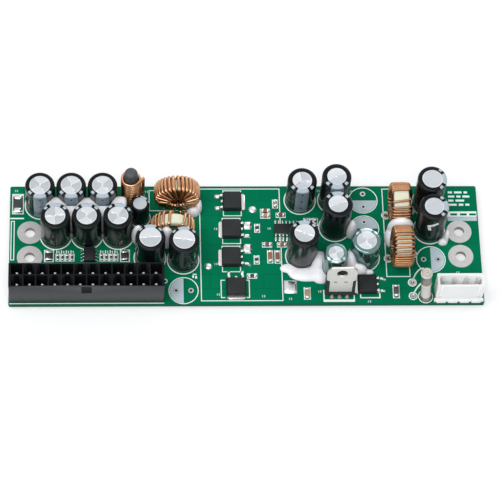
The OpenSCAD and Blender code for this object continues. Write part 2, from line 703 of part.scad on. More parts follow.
// Side view of a lead: its top lies on the leaning foot of the body
function reg_lead_side() =
    let (t = 0.5, near = reg_lead_y - t / 2, far = reg_lead_y + t / 2, root_z = board_z + reg_lift)
    [[reg_y + near, joint_h], [reg_y + far, joint_h], [reg_y + far, root_z - far * tan(reg_lean)],
        [reg_y + near, root_z - near * tan(reg_lean)]];

module regulator_body() {
    half = reg_w / 2 - 0.15;
    color("dimgray")
        leaned()
            difference() {
                rotate([90, 0, 90])
                    translate([0, 0, -half])
                        linear_extrude(2 * half)
                            polygon([[0, 0.4], [0.3, 0], [reg_t - 0.5, 0], [reg_t, 0.4],
                                [reg_t - 0.4, reg_neck_z - 0.2], [0, reg_neck_z - 0.2]]);
                reg_plate();
            }
}

// A transistor is drawn with its tab towards +X and then turned
module turned(f) {
    translate([f[0], f[1], board_z])
        rotate(f[2])
            children();
}
fet_plate_t = 0.5;
fet_plate_w = 5.3;
module fet_plate() {
    translate([-fet_l / 2 + 1.2, -fet_plate_w / 2, 0])
        cube([fet_l - 1.2 + fet_tab, fet_plate_w, fet_plate_t]);
}
module fet_lead(y, side) {
    translate([0, y + 0.4, 0])
        rotate([90, 0, 0])
            linear_extrude(0.8)
                polygon(side);
}
module fet_leads() {
    x = -fet_l / 2;
    full = [[x, 0.8], [x, 1.3], [x - 0.9, 1.3], [x - 1.5, 0.5], [x - fet_reach, 0.5], [x - fet_reach, 0],
        [x - 1.3, 0], [x - 0.7, 0.8]];
    stub = [[x, 0.8], [x, 1.3], [x - 0.7, 1.3], [x - 0.7, 0.8]];
    for (y = [-2.28, 2.28])
        fet_lead(y, full);
    fet_lead(0, stub);
}
module transistor_leadframes() {
    color("silver")
        for (f = FETS)
            turned(f) {
                fet_plate();
                fet_leads();
            }
}
module transistor_bodies() {
    draft = 0.25;
    color("dimgray")
        for (f = FETS)
            turned(f)
                difference() {
                    intersection() {
                        drafted(fet_l, fet_w, fet_h, draft);
                        rotate(90)
                            drafted(fet_w, fet_l, fet_h, draft);
                    }
                    fet_plate();
                }
}
// A block whose two X faces slope inwards above and below the parting line
module drafted(l, w, h, draft) {
    x = l / 2;
    translate([0, w / 2, seat])
        rotate([90, 0, 0])
            linear_extrude(w)
                polygon([[-x, 0], [x, 0], [x, h * 0.6], [x - draft, h - seat], [draft - x, h - seat],
                    [-x, h * 0.6]]);
}

// A control chip with gull-wing leads along both long sides
module gull_chip(length, per_side) {
    body_h = 1.5;
    lift = 0.15;
    w = ctrl_w / 2;
    lead = [[w, 0.7], [w, 0.9], [w + 0.4, 0.9], [w + 0.6, 0.2], [w + 1.05, 0.2], [w + 1.05, 0], [w + 0.45, 0],
        [w + 0.25, 0.7]];
    translate([-length / 2, -w, lift])
        cube([length, ctrl_w, body_h]);
    for (side = [0, 180], k = [0:per_side - 1])
        rotate(side)
            translate([(k - (per_side - 1) / 2) * ctrl_pitch - 0.21, 0, 0])
                rotate([90, 0, 90])
                    linear_extrude(0.42)
                        polygon(lead);
}
small_ctrl_l = 4.9;
small_ctrl_gap = 0.35;
module control_chips() {
    color("dimgray") {
        translate([ctrl_x, ctrl_y, board_z])
            gull_chip(ctrl_l, 7);
        translate([out_x + 0.9, bank_edge_y - small_ctrl_gap - small_ctrl_l / 2, board_z])
            rotate(90)
                gull_chip(small_ctrl_l, 4);
    }
}

module placed_chip(c) {
    translate([c[0], c[1], board_z])
        rotate(c[5])
            children();
}
module chip_bodies() {
    color("saddlebrown")
        for (c = CHIPS)
            placed_chip(c)
                box_at(0, 0, 0, c[2] - 2 * chip_cap, c[3], c[4] - seat);
}
module chip_terminals() {
    color("gainsboro")
        for (c = CHIPS, side = [-1, 1])
            placed_chip(c)
                box_at(side * (c[2] - chip_cap) / 2, 0, 0, chip_cap, c[3], c[4]);
}

// Upright fuse: a barrel, a collar, a thin neck and a top cap on one axis that leans to the left.
// Its top lead is folded down to a pad.
fuse_lean = 5;
fuse_lift = fuse_d / 2 * sin(fuse_lean) + 0.05;
module upright_fuse() {
    r = fuse_d / 2;
    barrel_h = fuse_h * 0.53;
    collar_h = fuse_h * 0.66;
    cap_z = fuse_h * 0.82;
    barrel_r = r - 0.15;
    neck_r = r * 0.55;
    cap_r = r * 0.82;
    foot = [fuse_x, fuse_y, board_z + fuse_lift];
    top = foot + (fuse_h - 0.2) * [-sin(fuse_lean), 0, cos(fuse_lean)];
    pad = [fuse_pad_x, fuse_pad_y, joint_h];
    over = [pad[0] - top[0], pad[1] - top[1], 0];
    path = [top, top + [0, 0, 0.8], top + 0.12 * over + [0, 0, 1.1], top + 0.4 * over + [0, 0, 0.5],
        top + 0.75 * over - [0, 0, 2.6], pad + [0, 0, board_t + 9], pad];
    side = unit([over[1], -over[0], 0]);
    color("tan") {
        translate(foot)
            rotate([0, -fuse_lean, 0])
                rotate_extrude()
                    polygon([[0, 0], [r, 0], [r, 0.6], [barrel_r, 0.8], [barrel_r, barrel_h - 0.2],
                        [r, barrel_h], [r, collar_h - 0.4], [r - 0.4, collar_h], [neck_r, collar_h],
                        [neck_r, cap_z], [cap_r, cap_z], [cap_r, fuse_h - 0.4], [cap_r - 0.4, fuse_h],
                        [0, fuse_h]]);
        tube(path, [for (p = path) side], fuse_lead_d, 8);
        translate([fuse_x, fuse_y, joint_h])
            cylinder(d = fuse_lead_d, h = board_t + 2 * fuse_lift);
    }
}

// A bead of silicone with a round top, cut away where it meets capacitors, toroids and ring pads
module bead(g) {
    round_h = min(g[3], g[2]);
    steps = 5;
    side = [for (k = [0:steps]) let (a = 90 * k / steps) [g[2] * cos(a), g[3] - round_h + round_h * sin(a)]];
    translate([g[0], g[1], board_z])
        rotate_extrude()
            polygon(concat([[0, 0], [g[2], 0]], round_h < g[3] ? side : [for (k = [1:steps]) side[k]]));
}
module glue_beads() {
    color("white")
        difference() {
            union() {
                for (g = GLUE)
                    bead(g);
            }
            for (c = CAPS)
                translate([c[0], c[1], 0])
                    cylinder(d = c[2][0] + 2 * seat, h = board_z + 2 * c[2][1]);
            for (p = MOUNT_HOLES)
                translate([p[0], p[1], 0])
                    cylinder(d = ring_pad_d + 2 * seat, h = 2 * board_z);
            for (t = TOROIDS)
                around(t)
                    cylinder(r = t[2] / 2 + t[5] + 3 * seat, h = t[3] + 4 * t[5], center = true);
        }
}

// Capacitor can: rounded shoulder and foot, with the rolled groove above the foot
shoulder_r = 0.9;
groove_z = 2;
groove_r = 0.35;
arc_steps = 4;
function arc(cx, cz, r, from, to) =
    [for (k = [0:arc_steps]) let (a = from + (to - from) * k / arc_steps) [cx + r * cos(a), cz + r * sin(a)]];
function can_r(c) = c[2][0] / 2 - sleeve_t - seat;
function can_h(c) = c[2][1] - cap_standoff - sleeve_t - seat;
function can_side(c, grow) =
    let (r = can_r(c) + grow)
    concat(
        [[r, 0.5], [r, groove_z - 2 * groove_r], [r - groove_r, groove_z], [r, groove_z + 2 * groove_r]],
        arc(can_r(c) - shoulder_r, can_h(c) - shoulder_r, shoulder_r + grow, 0, 90));
module on_cap_place(c) {
    translate([c[0], c[1], board_z + cap_standoff])
        children();
}
score_w = 0.3;
score_depth = 0.12;
module capacitor(c) {
    disc_r = c[2][0] / 2 - sleeve_lip;
    color("gainsboro") {
        on_cap_place(c)
            difference() {
                rotate_extrude()
                    polygon(concat([[0, 0], [can_r(c) - 0.5, 0]], can_side(c, 0), [[0, can_h(c)]]));
                for (a = c[4])
                    rotate(a + 20)
                        box_at(len(c[4]) == 3 ? disc_r * 0.45 : 0, 0, can_h(c) - score_depth,
                            disc_r * (len(c[4]) == 3 ? 0.9 : 1.7), score_w, 1);
            }
        for (p = cap_leads(c))
            translate([p[0], p[1], joint_h])
                cylinder(d = cap_lead_d, h = board_t + cap_standoff + 0.1);
    }
}
module capacitor_sleeve(c) {
    lip = c[2][0] / 2 - sleeve_lip;
    inner = can_side(c, seat);
    outer = can_side(c, seat + sleeve_t);
    count = len(inner);
    color("darkslategray")
        on_cap_place(c)
            rotate_extrude()
                polygon(concat(outer, [[lip, can_h(c) + seat + sleeve_t], [lip, can_h(c) + seat]],
                    [for (k = [count - 1:-1:0]) inner[k]]));
}

circuit_board();
tinned_pads();
solder_joints();
output_header();
output_pins();
input_header();
input_pins();
toroid_core(TOROIDS[0]);  // toroid_1_core
toroid_core(TOROIDS[1]);  // toroid_2_core
toroid_core(TOROIDS[2]);  // toroid_3_core
toroid_core(TOROIDS[3]);  // toroid_4_core
toroid_winding(TOROIDS[0]);  // toroid_1_winding
toroid_winding(TOROIDS[1]);  // toroid_2_winding
toroid_winding(TOROIDS[2]);  // toroid_3_winding
toroid_winding(TOROIDS[3]);  // toroid_4_winding
rod_core();
rod_winding();
regulator_tab();
regulator_body();
transistor_bodies();
transistor_leadframes();
control_chips();
chip_bodies();
chip_terminals();
upright_fuse();
glue_beads();
for (i = [0:len(CAPS) - 1]) {
    capacitor(CAPS[i]);
    capacitor_sleeve(CAPS[i]);
}
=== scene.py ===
# %% [markdown]
# # DC-DC power supply module
# A long green circuit board carries a black 24-way header, a white 4-way header, seventeen
# electrolytic capacitors, four ring chokes, a rod choke, a standing regulator, flat transistors
# and small chips. The CAD model is loaded first and stays fixed. Every cell after that dresses
# one kind of part: it keeps the CAD solid and gives it a finish, or builds a finer piece in its place.

import math

import bmesh
import bpy
from mathutils import Matrix, Vector


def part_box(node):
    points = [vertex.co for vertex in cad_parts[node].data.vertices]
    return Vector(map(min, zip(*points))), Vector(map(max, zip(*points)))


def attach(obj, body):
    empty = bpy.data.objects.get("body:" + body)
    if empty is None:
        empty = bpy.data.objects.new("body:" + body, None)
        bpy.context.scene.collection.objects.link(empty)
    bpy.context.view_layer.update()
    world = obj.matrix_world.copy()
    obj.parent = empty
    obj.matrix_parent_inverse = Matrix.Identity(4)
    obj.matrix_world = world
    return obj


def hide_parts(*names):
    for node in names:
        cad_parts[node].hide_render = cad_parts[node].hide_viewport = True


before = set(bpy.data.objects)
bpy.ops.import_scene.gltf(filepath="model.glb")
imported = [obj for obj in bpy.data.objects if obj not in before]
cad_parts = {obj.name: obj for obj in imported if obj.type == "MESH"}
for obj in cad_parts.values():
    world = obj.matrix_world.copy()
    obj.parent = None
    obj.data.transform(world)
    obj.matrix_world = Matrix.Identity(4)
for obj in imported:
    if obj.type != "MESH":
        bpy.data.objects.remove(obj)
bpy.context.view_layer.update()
scene = bpy.context.scene
MM = 0.001
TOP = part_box("circuit_board")[1].z

# %% [markdown]
# ## Camera
# The photograph is taken from far in front and above, with a long lens, so the board's edges stay
# almost parallel. The camera's three axes are worked out from its azimuth, elevation and roll and
# written into its matrix, which keeps the small roll that a tracking constraint would lose.

# %% Camera
AIM = Vector((1.36, -2.11, 3.0)) * MM
DISTANCE = 848.8  # mm
azimuth, elevation, roll = (math.radians(a) for a in (-6.85, 62.59, 5.94))
reach, rise = math.cos(elevation), math.sin(elevation)
toward_eye = Vector((math.sin(azimuth) * reach, -math.cos(azimuth) * reach, rise))
level = Vector((math.cos(azimuth), math.sin(azimuth), 0))
upright = toward_eye.cross(level)
across = math.cos(roll) * level + math.sin(roll) * upright
upward = math.cos(roll) * upright - math.sin(roll) * level
lens = bpy.data.cameras.new("bench_camera")
lens.lens = 180.2
lens.sensor_width = 36
lens.clip_start = 0.05
lens.clip_end = 20
camera = bpy.data.objects.new("bench_camera", lens)
axes = Matrix((across, upward, toward_eye)).transposed().to_4x4()
camera.matrix_world = Matrix.Translation(AIM + toward_eye * DISTANCE * MM) @ axes
scene.collection.objects.link(camera)
scene.camera = camera
scene.view_settings.view_transform = "Standard"
print("camera at", [round(v, 3) for v in camera.location])

# %% [markdown]
# ## Colours, nodes and materials
# Colours are picked as sRGB hex codes, but shaders calculate in linear light, so one function
# converts them. Another adds a node to a tree, sets its properties and fills its inputs: a plain
# value is stored in the socket, and another node's socket is linked to it. A third starts a
# material, with the numbers that are the same all over it on the shader's own sockets.

# %% Colours, nodes and materials
def srgb(code):
    """Linear RGBA of a colour such as "#02704d"."""
    parts = [int(code[i : i + 2], 16) / 255 for i in (1, 3, 5)]
    return (*(c / 12.92 if c <= 0.04045 else ((c + 0.055) / 1.055) ** 2.4 for c in parts), 1.0)


def add_node(tree, kind, inputs={}, **settings):
    """A shader node of that kind, with its properties set and its inputs filled or linked."""
    node = tree.nodes.new("ShaderNode" + kind)
    for name, value in settings.items():
        setattr(node, name, value)
    for name, value in inputs.items():
        if isinstance(value, bpy.types.NodeSocket):
            tree.links.new(value, node.inputs[name])
        else:
            node.inputs[name].default_value = value
    return node


def new_material(name, **numbers):
    """A material with numbers on its shader's sockets, then its node tree and that shader."""
    material = bpy.data.materials.new(name)
    material.use_nodes = True
    tree = material.node_tree
    shader = tree.nodes["Principled BSDF"]
    for socket, value in numbers.items():
        shader.inputs[socket.replace("_", " ")].default_value = value
    return material, tree, shader


def per_mm(size):
    """A texture's scale at which its features are about size millimetres apart."""
    return 1 / (size * MM)


MIX_A, MIX_B, MIX_OUT = 6, 7, 2  # where a Mix node keeps its colour sockets
print("middle grey in linear light:", round(srgb("#808080")[0], 3))

# %% [markdown]
# ## Floor, world and lamps
# The module lies on a white table under soft light from all round. The floor is a diffuse white
# sheet, so it keeps the shadow under the board, and camera, glossy and transmission rays also see
# part of it as a plain white glow. The world does the same, which gives metal something white to mirror.

# %% Floor
def seen_directly(tree):
    """1 for rays from the camera, a mirror or glass, and 0 for the rays that light the object."""
    rays = add_node(tree, "LightPath").outputs
    seen = rays["Is Camera Ray"]
    for kind in ("Is Glossy Ray", "Is Transmission Ray"):
        seen = add_node(tree, "Math", {0: seen, 1: rays[kind]}, operation="MAXIMUM").outputs[0]
    return seen


FLOOR_GLOW, FLOOR_SIZE = 0.5, 2.0
WHITE = srgb("#ffffff")
# Table laminate: matt and even
paper, tree, matt = new_material("white_table_laminate", Base_Color=WHITE, Roughness=0.9)
glow = add_node(tree, "Emission", {"Color": WHITE, "Strength": 1.0})
share = add_node(tree, "Math", {0: seen_directly(tree), 1: FLOOR_GLOW}, operation="MULTIPLY")
both = add_node(tree, "MixShader", {0: share.outputs[0], 1: matt.outputs[0], 2: glow.outputs[0]})
tree.links.new(both.outputs[0], tree.nodes["Material Output"].inputs["Surface"])

sheet = bmesh.new()
bmesh.ops.create_grid(sheet, x_segments=1, y_segments=1, size=FLOOR_SIZE)
floor_mesh = bpy.data.meshes.new("floor")
sheet.to_mesh(floor_mesh)
sheet.free()
floor_mesh.materials.append(paper)
floor = bpy.data.objects.new("floor", floor_mesh)
scene.collection.objects.link(floor)
print("floor finish:", paper.name)

# %% World
SKY_LIGHT = 0.54
sky = bpy.data.worlds.new("studio_white")
sky.use_nodes = True
scene.world = sky
tree = sky.node_tree
dim = tree.nodes["Background"]
dim.inputs["Color"].default_value = srgb("#f6faff")
dim.inputs["Strength"].default_value = SKY_LIGHT
white = add_node(tree, "Background", {"Color": WHITE, "Strength": 1.0})
choice = add_node(tree, "MixShader", {0: seen_directly(tree), 1: dim.outputs[0], 2: white.outputs[0]})
tree.links.new(choice.outputs[0], tree.nodes["World Output"].inputs["Surface"])

print("light from all round:", SKY_LIGHT)

# %% Lamps
# Lamp: place in metres, width in metres and power in watts
LAMPS = {
    "key_softbox": ((-0.35, -0.10, 0.80), 0.50, 3.2),
    "front_softbox": ((0.0, -0.52, 0.90), 0.45, 2.7),
    "back_softbox": ((0.30, 0.70, 0.60), 0.40, 1.4),
}
for name, (place, width, power) in LAMPS.items():
    data = bpy.data.lights.new(name, "AREA")
    data.size = width
    data.energy = power
    lamp = bpy.data.objects.new(name, data)
    lamp.location = place
    lamp.rotation_euler = (AIM - Vector(place)).to_track_quat("-Z", "Y").to_euler()
    scene.collection.objects.link(lamp)
print("lamps:", ", ".join(LAMPS))

# %% [markdown]
# ## Plain finishes
# Most finishes on a circuit board are one colour with a little drift: moulded nylon has a fine
# spark-eroded grain, solder is cloudy, epoxy is dusty. One function makes such a material. A noise
# texture in Object coordinates, at a grain size given in millimetres, drifts its colour and bump.

# %% Plain finishes
def finish(name, low, high, grain_mm, bump_mm=0.0, stretch=(1, 1, 1), **numbers):
    """A material whose colour drifts between two tones over grain_mm, with a bump of bump_mm."""
    material, tree, shader = new_material(name, **numbers)
    place = add_node(tree, "TexCoord").outputs["Object"]
    drawn = add_node(tree, "Mapping", {"Vector": place, "Scale": stretch}).outputs[0]
    noise = add_node(tree, "TexNoise", {"Vector": drawn, "Scale": per_mm(grain_mm), "Detail": 4.0})
    cloud = noise.outputs["Fac"]
    tone = add_node(tree, "Mix", {0: cloud, MIX_A: srgb(low), MIX_B: srgb(high)}, data_type="RGBA")
    tree.links.new(tone.outputs[MIX_OUT], shader.inputs["Base Color"])
    if bump_mm:
        relief = add_node(tree, "Bump", {"Strength": 1.0, "Distance": bump_mm * MM, "Height": cloud})
        tree.links.new(relief.outputs[0], shader.inputs["Normal"])
    return material


# Moulded nylon: half matt, with a fine grain from the eroded mould
black_nylon = finish("black_nylon", "#1a1e23", "#272c32", 0.5, 0.012, Roughness=0.42, Specular_IOR_Level=0.4)
# Cells of the black header: a darker copy, as painted shade in the deep cells
black_cell_painted_shade = finish("black_nylon_cell_painted_shade", "#0c0d0f", "#121316", 0.5, Roughness=0.6, Specular_IOR_Level=0.1)
white_nylon = finish("white_nylon", "#e4e6e4", "#eeefed", 1.2, 0.008, Roughness=0.46)
# Cells of the white header: a lighter copy, as painted light in the deep trough
white_cell_painted_light = finish("white_nylon_cell_painted_light", "#fafbfa", "#ffffff", 1.2, Roughness=0.5)
# Tin on copper and brass: a pale grey metal, cloudy where it was dipped
tinned_copper = finish("tinned_copper", "#a6a6a6", "#bcbbba", 1.2, 0.01, Metallic=0.85, Roughness=0.46)
tinned_pin = finish("tinned_pin", "#c9c9c6", "#dededb", 0.6, Metallic=1.0, Roughness=0.24)
# Near-white tin, as a painted highlight on the black header's pin tips and on the fuse's leads
pin_painted_highlight = finish("tinned_pin_painted_highlight", "#eeeeea", "#fbfbf8", 0.6, Metallic=0.1, Roughness=0.3)
dull_pin = finish("dull_tinned_pin", "#bcbcb8", "#d0d0cb", 0.6, Metallic=0.2, Roughness=0.5)
# Solder: bright where it froze clean, and dull and grainy where flux burnt on it
solder = finish("solder", "#c2c6c8", "#dfe2e3", 0.9, 0.02, Metallic=1.0, Roughness=0.24)
# The dull tone also stands as painted shade in the plated holes, and in part on the fuse's can
dull_solder_and_painted_shade = finish("dull_solder_and_painted_shade", "#77736c", "#9a968f", 0.7, 0.03, Metallic=0.8, Roughness=0.42)
# Moulded epoxy: charcoal and matt, with a sandy grain
black_epoxy = finish("black_epoxy", "#16191b", "#202426", 0.4, 0.015, Roughness=0.55, Specular_IOR_Level=0.25)
# Ferrite: a black ceramic, pressed and ground
ferrite = finish("ferrite", "#33373a", "#464b4d", 0.6, 0.02, Roughness=0.5, Specular_IOR_Level=0.5)
# Nickel-plated tab: rolled sheet with fine lines along it
ROLLED_UP = (1, 1, 0.15)
plated_tab = finish(
    "nickel_plated_tab", "#c4c3be", "#d8d7d2", 0.5, 0.004, ROLLED_UP, Metallic=0.9, Roughness=0.38
)
# Core coating: pale epoxy powder, baked on, and a dark brown on the faces in the bore, as painted shade
# inside the ring
core_coating = finish("core_coating", "#d2d5b9", "#e4e4cd", 1.5, 0.015, Roughness=0.45)
bore_painted_shade = finish("core_bore_painted_shade", "#3f3b31", "#565144", 0.8, 0.02, Roughness=0.7)
# Silicone: white paste with a smooth, slightly uneven skin
white_silicone = finish("white_silicone", "#f0eef3", "#faf9fb", 3.0, 0.05, Roughness=0.38)
# Screen ink: flat white epoxy ink, and the thin hatch of the same ink, which the green dims
screen_ink = finish("screen_ink", "#e3eee9", "#f7faf8", 0.7, Roughness=0.6, Specular_IOR_Level=0.2)
hatch_ink = finish("hatched_screen_ink", "#a9bdc4", "#c2d0d8", 0.7, Roughness=0.6, Specular_IOR_Level=0.2)
# Fuse: cream unglazed ceramic, between caps of tarnished nickel
fuse_ceramic = finish("fuse_ceramic", "#cbc9c1", "#dcdad3", 0.8, 0.01, Roughness=0.5)
fuse_nickel = finish("tarnished_nickel", "#a8a196", "#dad6cd", 0.8, 0.02, Metallic=0.95, Roughness=0.24)
# Enamelled copper: drawn wire under a clear lacquer; the finer wire gets a darker, rougher copy, as
# painted shade on the finer windings
copper_wire = finish(
    "enamelled_copper", "#a8754f", "#d2a47c", 1.6, Metallic=1.0, Roughness=0.24, Coat_Weight=0.5
)
fine_copper_painted_shade = finish(
    "fine_enamelled_copper_painted_shade", "#8c6041", "#b5865f", 1.6, Metallic=1.0, Roughness=0.34, Coat_Weight=0.3
)
print("plain finishes:", len(bpy.data.materials))

# %% [markdown]
# ## Finding the CAD's solids
# A CAD node is one mesh of loose triangles that may hold many solids. Its copy is merged and
# walked from vertex to vertex, which gives the box of each solid, so chips, joints and transistors
# are found where the CAD put them.

# %% Finding the CAD's solids
def merged_copy(node):
    """A bmesh copy of a CAD node with its loose triangles joined."""
    bm = bmesh.new()
    bm.from_mesh(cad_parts[node].data)
    bmesh.ops.remove_doubles(bm, verts=bm.verts, dist=1e-3 * MM)
    return bm


def solids(bm):
    """The vertices of each separate solid in a bmesh."""
    groups, seen = [], set()
    for start in bm.verts:
        if start in seen:
            continue
        seen.add(start)
        group = [start]
        for vert in group:
            for edge in vert.link_edges:
                other = edge.other_vert(vert)
                if other not in seen:
                    seen.add(other)
                    group.append(other)
        groups.append(group)
    return groups


def corners(points):
    """Lowest and highest corner of some points."""
    return tuple(Vector(pick(p[i] for p in points) for i in range(3)) for pick in (min, max))


def solid_boxes(node, unit=1):
    """The box of each separate solid of a CAD node, in metres or in another unit."""
    bm = merged_copy(node)
    boxes = [corners([v.co for v in group]) for group in solids(bm)]
    bm.free()
    return [(low / unit, high / unit) for low, high in boxes]


def plan_middle(low, high):
    """The middle of a box, seen from above."""
    return Vector(((low.x + high.x) / 2, (low.y + high.y) / 2, 0))


print("solder joints found:", len(solid_boxes("solder_joints")))

# %% [markdown]
# ## Tools for pieces
# These tools turn a profile on an axis, run a round wire along a path, round sharp edges, and settle
# a finished bmesh as a piece that rides on the module. A piece is shaped round the origin where that
# is easier, and then turned and moved inside its mesh, so that its object stays at the origin.

# %% Tools for pieces: turning and moving
def turned(profile, centre, steps, closed=True):
    """A profile of (radius, height) points in metres, spun round an upright axis at centre."""
    bm = bmesh.new()
    verts = [bm.verts.new((r, 0, z)) for r, z in profile]
    pairs = list(zip(verts, verts[1:])) + ([(verts[-1], verts[0])] if closed else [])
    edges = [bm.edges.new(pair) for pair in pairs]
    bmesh.ops.spin(
        bm, geom=verts + edges, cent=(0, 0, 0), axis=(0, 0, 1), angle=2 * math.pi, steps=steps, use_merge=True
    )
    bmesh.ops.remove_doubles(bm, verts=bm.verts, dist=1e-3 * MM)
    bmesh.ops.recalc_face_normals(bm, faces=bm.faces)
    bmesh.ops.translate(bm, verts=bm.verts, vec=centre)
    return bm


def set_down(bm, place, turn=Matrix.Identity(3)):
    """Turns a bmesh round the origin, then moves it to its place."""
    bmesh.ops.rotate(bm, verts=bm.verts, cent=(0, 0, 0), matrix=turn)
    bmesh.ops.translate(bm, verts=bm.verts, vec=place)


def turn_z(degrees):
    """A turn round the upright axis."""
    return Matrix.Rotation(math.radians(degrees), 3, "Z")


def add_to(target, part):
    """Moves a part's geometry into another bmesh."""
    mesh = bpy.data.meshes.new("part")
    part.to_mesh(mesh)
    part.free()
    target.from_mesh(mesh)
    bpy.data.meshes.remove(mesh)


print("tools:", turned.__name__, set_down.__name__, turn_z.__name__, add_to.__name__)

# %% Tools for pieces: wires and round edges
def wires(paths, radius):
    """A bmesh of round wires along paths of points in metres."""
    curve = bpy.data.curves.new("wire", "CURVE")
    curve.dimensions = "3D"
    curve.bevel_depth = radius
    curve.bevel_resolution = 3
    curve.use_fill_caps = True
    for path in paths:
        spline = curve.splines.new("POLY")
        spline.points.add(len(path) - 1)
        spline.points.foreach_set("co", [c for p in path for c in (*p, 1.0)])
    holder = bpy.data.objects.new("wire", curve)
    scene.collection.objects.link(holder)
    mesh = bpy.data.meshes.new_from_object(holder.evaluated_get(bpy.context.evaluated_depsgraph_get()))
    bm = bmesh.new()
    bm.from_mesh(mesh)
    bmesh.ops.remove_doubles(bm, verts=bm.verts, dist=1e-4 * MM)
    bpy.data.objects.remove(holder)
    bpy.data.curves.remove(curve)
    bpy.data.meshes.remove(mesh)
    return bm


def rounded(bm, width, corner, segments):
    """Rounds by width, in metres, the edges that turn by more than corner degrees."""
    edges = [e for e in bm.edges if e.calc_face_angle(0) > math.radians(corner)]
    bmesh.ops.bevel(
        bm, geom=edges, offset=width, affect="EDGES", segments=segments, profile=0.5, material=-1,
        clamp_overlap=True,
    )


def eased(node, width_mm, flat=True):
    """A copy of a CAD node with its sharp edges rounded, after its flat faces are joined if asked."""
    bm = merged_copy(node)
    if flat:
        bmesh.ops.dissolve_limit(bm, angle_limit=math.radians(1), verts=bm.verts, edges=bm.edges)
    rounded(bm, width_mm * MM, corner=35, segments=2)
    return bm


print("tools:", wires.__name__, rounded.__name__, eased.__name__)

# %% Tools for pieces: settling
def settle(bm, name, materials, nodes=(), sharp=30):
    """A finished piece from a bmesh, riding on the module in place of the CAD nodes named."""
    mesh = bpy.data.meshes.new(name)
    bm.to_mesh(mesh)
    bm.free()
    mesh.shade_smooth()
    mesh.set_sharp_from_angle(angle=math.radians(sharp))
    for material in materials:
        mesh.materials.append(material)
    piece = bpy.data.objects.new(name, mesh)
    scene.collection.objects.link(piece)
    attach(piece, "root")
    if nodes:
        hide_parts(*nodes)
    return piece


def dress(node, material):
    """Gives a CAD node that stays its finish."""
    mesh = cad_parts[node].data
    mesh.materials.clear()
    mesh.materials.append(material)


print("CAD nodes to dress or replace:", len(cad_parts))

# %% [markdown]
# ## Circuit board
# The board is woven glass in epoxy, etched copper on both faces, and green lacquer over it. Copper
# under the lacquer looks a little paler than bare laminate, so a brick texture with wide offsets
# stands for the copper areas and the narrow gaps between them. The cut edges show the laminate
# itself, which the normal's upright part picks out.

# %% Circuit board
COPPER_AREA, CLOUD, FILM_STEP = 9.0, 14, 0.02  # mm: one copper area, drift of the green, bump at its edge
# Solder mask: a thin, half-glossy green lacquer
mask, tree, shader = new_material("green_solder_mask", Roughness=0.36, Specular_IOR_Level=0.02)
place = add_node(tree, "TexCoord").outputs["Object"]
areas = add_node(
    tree,
    "TexBrick",
    {
        "Vector": place, "Scale": per_mm(COPPER_AREA), "Brick Width": 1.0, "Row Height": 0.62,
        "Color1": srgb("#01694a"), "Color2": srgb("#01754f"), "Mortar": srgb("#016445"),
        "Mortar Size": 0.03, "Mortar Smooth": 0.2,
    },
    offset=0.37,
    offset_frequency=3,
    squash=1.7,
    squash_frequency=2,
).outputs
cloud = add_node(tree, "TexNoise", {"Vector": place, "Scale": per_mm(CLOUD), "Detail": 3.0}).outputs["Fac"]
tones = {0: cloud, MIX_A: areas["Color"], MIX_B: srgb("#02714d")}
lacquer = add_node(tree, "Mix", tones, data_type="RGBA").outputs[MIX_OUT]
normal = add_node(tree, "NewGeometry").outputs["True Normal"]
upright_part = add_node(tree, "SeparateXYZ", {0: normal}).outputs["Z"]
flatness = add_node(tree, "Math", {0: upright_part}, operation="ABSOLUTE").outputs[0]
is_face = add_node(tree, "Math", {0: flatness, 1: 0.5}, operation="GREATER_THAN").outputs[0]
tones = {0: is_face, MIX_A: srgb("#0d5a40"), MIX_B: lacquer}
laminate = add_node(tree, "Mix", tones, data_type="RGBA").outputs[MIX_OUT]
tree.links.new(laminate, shader.inputs["Base Color"])
skin = add_node(tree, "Bump", {"Strength": 0.5, "Distance": FILM_STEP * MM, "Height": areas["Fac"]})
tree.links.new(skin.outputs[0], shader.inputs["Normal"])
dress("circuit_board", mask)
dress("tinned_pads", tinned_copper)
print("board top at", round(TOP / MM, 2), "mm")

# %% [markdown]
# ## Solder
# Under the board each lead ends in a cone of solder with hollow sides, because molten solder climbs
# the lead. A short profile spun in twelve steps is enough for each. On the top face the same metal
# stands as domes on two test points, and as low cushions on the power pad and at the plates and leads
# of the transistors and the control chip. The regulator's three leads stand in duller drops.

# %% Solder under the board
# Cone: shares of its foot's radius and of its height
CONE = [(0, 1.0), (1.0, 1.0), (0.72, 0.86), (0.52, 0.55), (0.42, 0.2), (0.3, 0.0), (0, 0.0)]
joints = bmesh.new()
for low, high in solid_boxes("solder_joints"):
    foot, height = (high.x - low.x) / 2, high.z - low.z
    profile = [(r * foot, low.z + z * height) for r, z in CONE]
    add_to(joints, turned(profile, plan_middle(low, high), 12, closed=False))
settle(joints, "solder_cones", [solder], ["solder_joints"], sharp=50)
print("cones spun from", len(CONE), "points")

# %% Solder on the top face
def cushion(target, x, y, width, depth, height, turn=0):
    """A low pillow of solder on the board, in mm, turned by that many degrees."""
    pillow = bmesh.new()
    bmesh.ops.create_grid(pillow, x_segments=8, y_segments=8, size=0.5)
    for vert in pillow.verts:
        u, v = 2 * vert.co.x, 2 * vert.co.y
        rise = max(0, (1 - u**4) * (1 - v**4))
        vert.co = (vert.co.x * (1 - 0.1 * v**4), vert.co.y * (1 - 0.1 * u**4), rise)
    bmesh.ops.scale(pillow, verts=pillow.verts, vec=(width * MM, depth * MM, height * MM))
    set_down(pillow, (x * MM, y * MM, TOP + 0.03 * MM), turn_z(turn))
    add_to(target, pillow)


def dome(target, x, y, radius, height):
    """A round drop of solder on the board, in mm."""
    arc = [(radius * math.sin(a), height * math.cos(a)) for a in (math.radians(d) for d in range(0, 91, 15))]
    profile = [(r * MM, z * MM) for r, z in arc + [(0, 0)]]
    add_to(target, turned(profile, (x * MM, y * MM, TOP + 0.05 * MM), 24))


domes = bmesh.new()
dome(domes, -12.9, -8.3, 1.15, 0.4)
dome(domes, 2.6, 13.4, 1.25, 0.4)
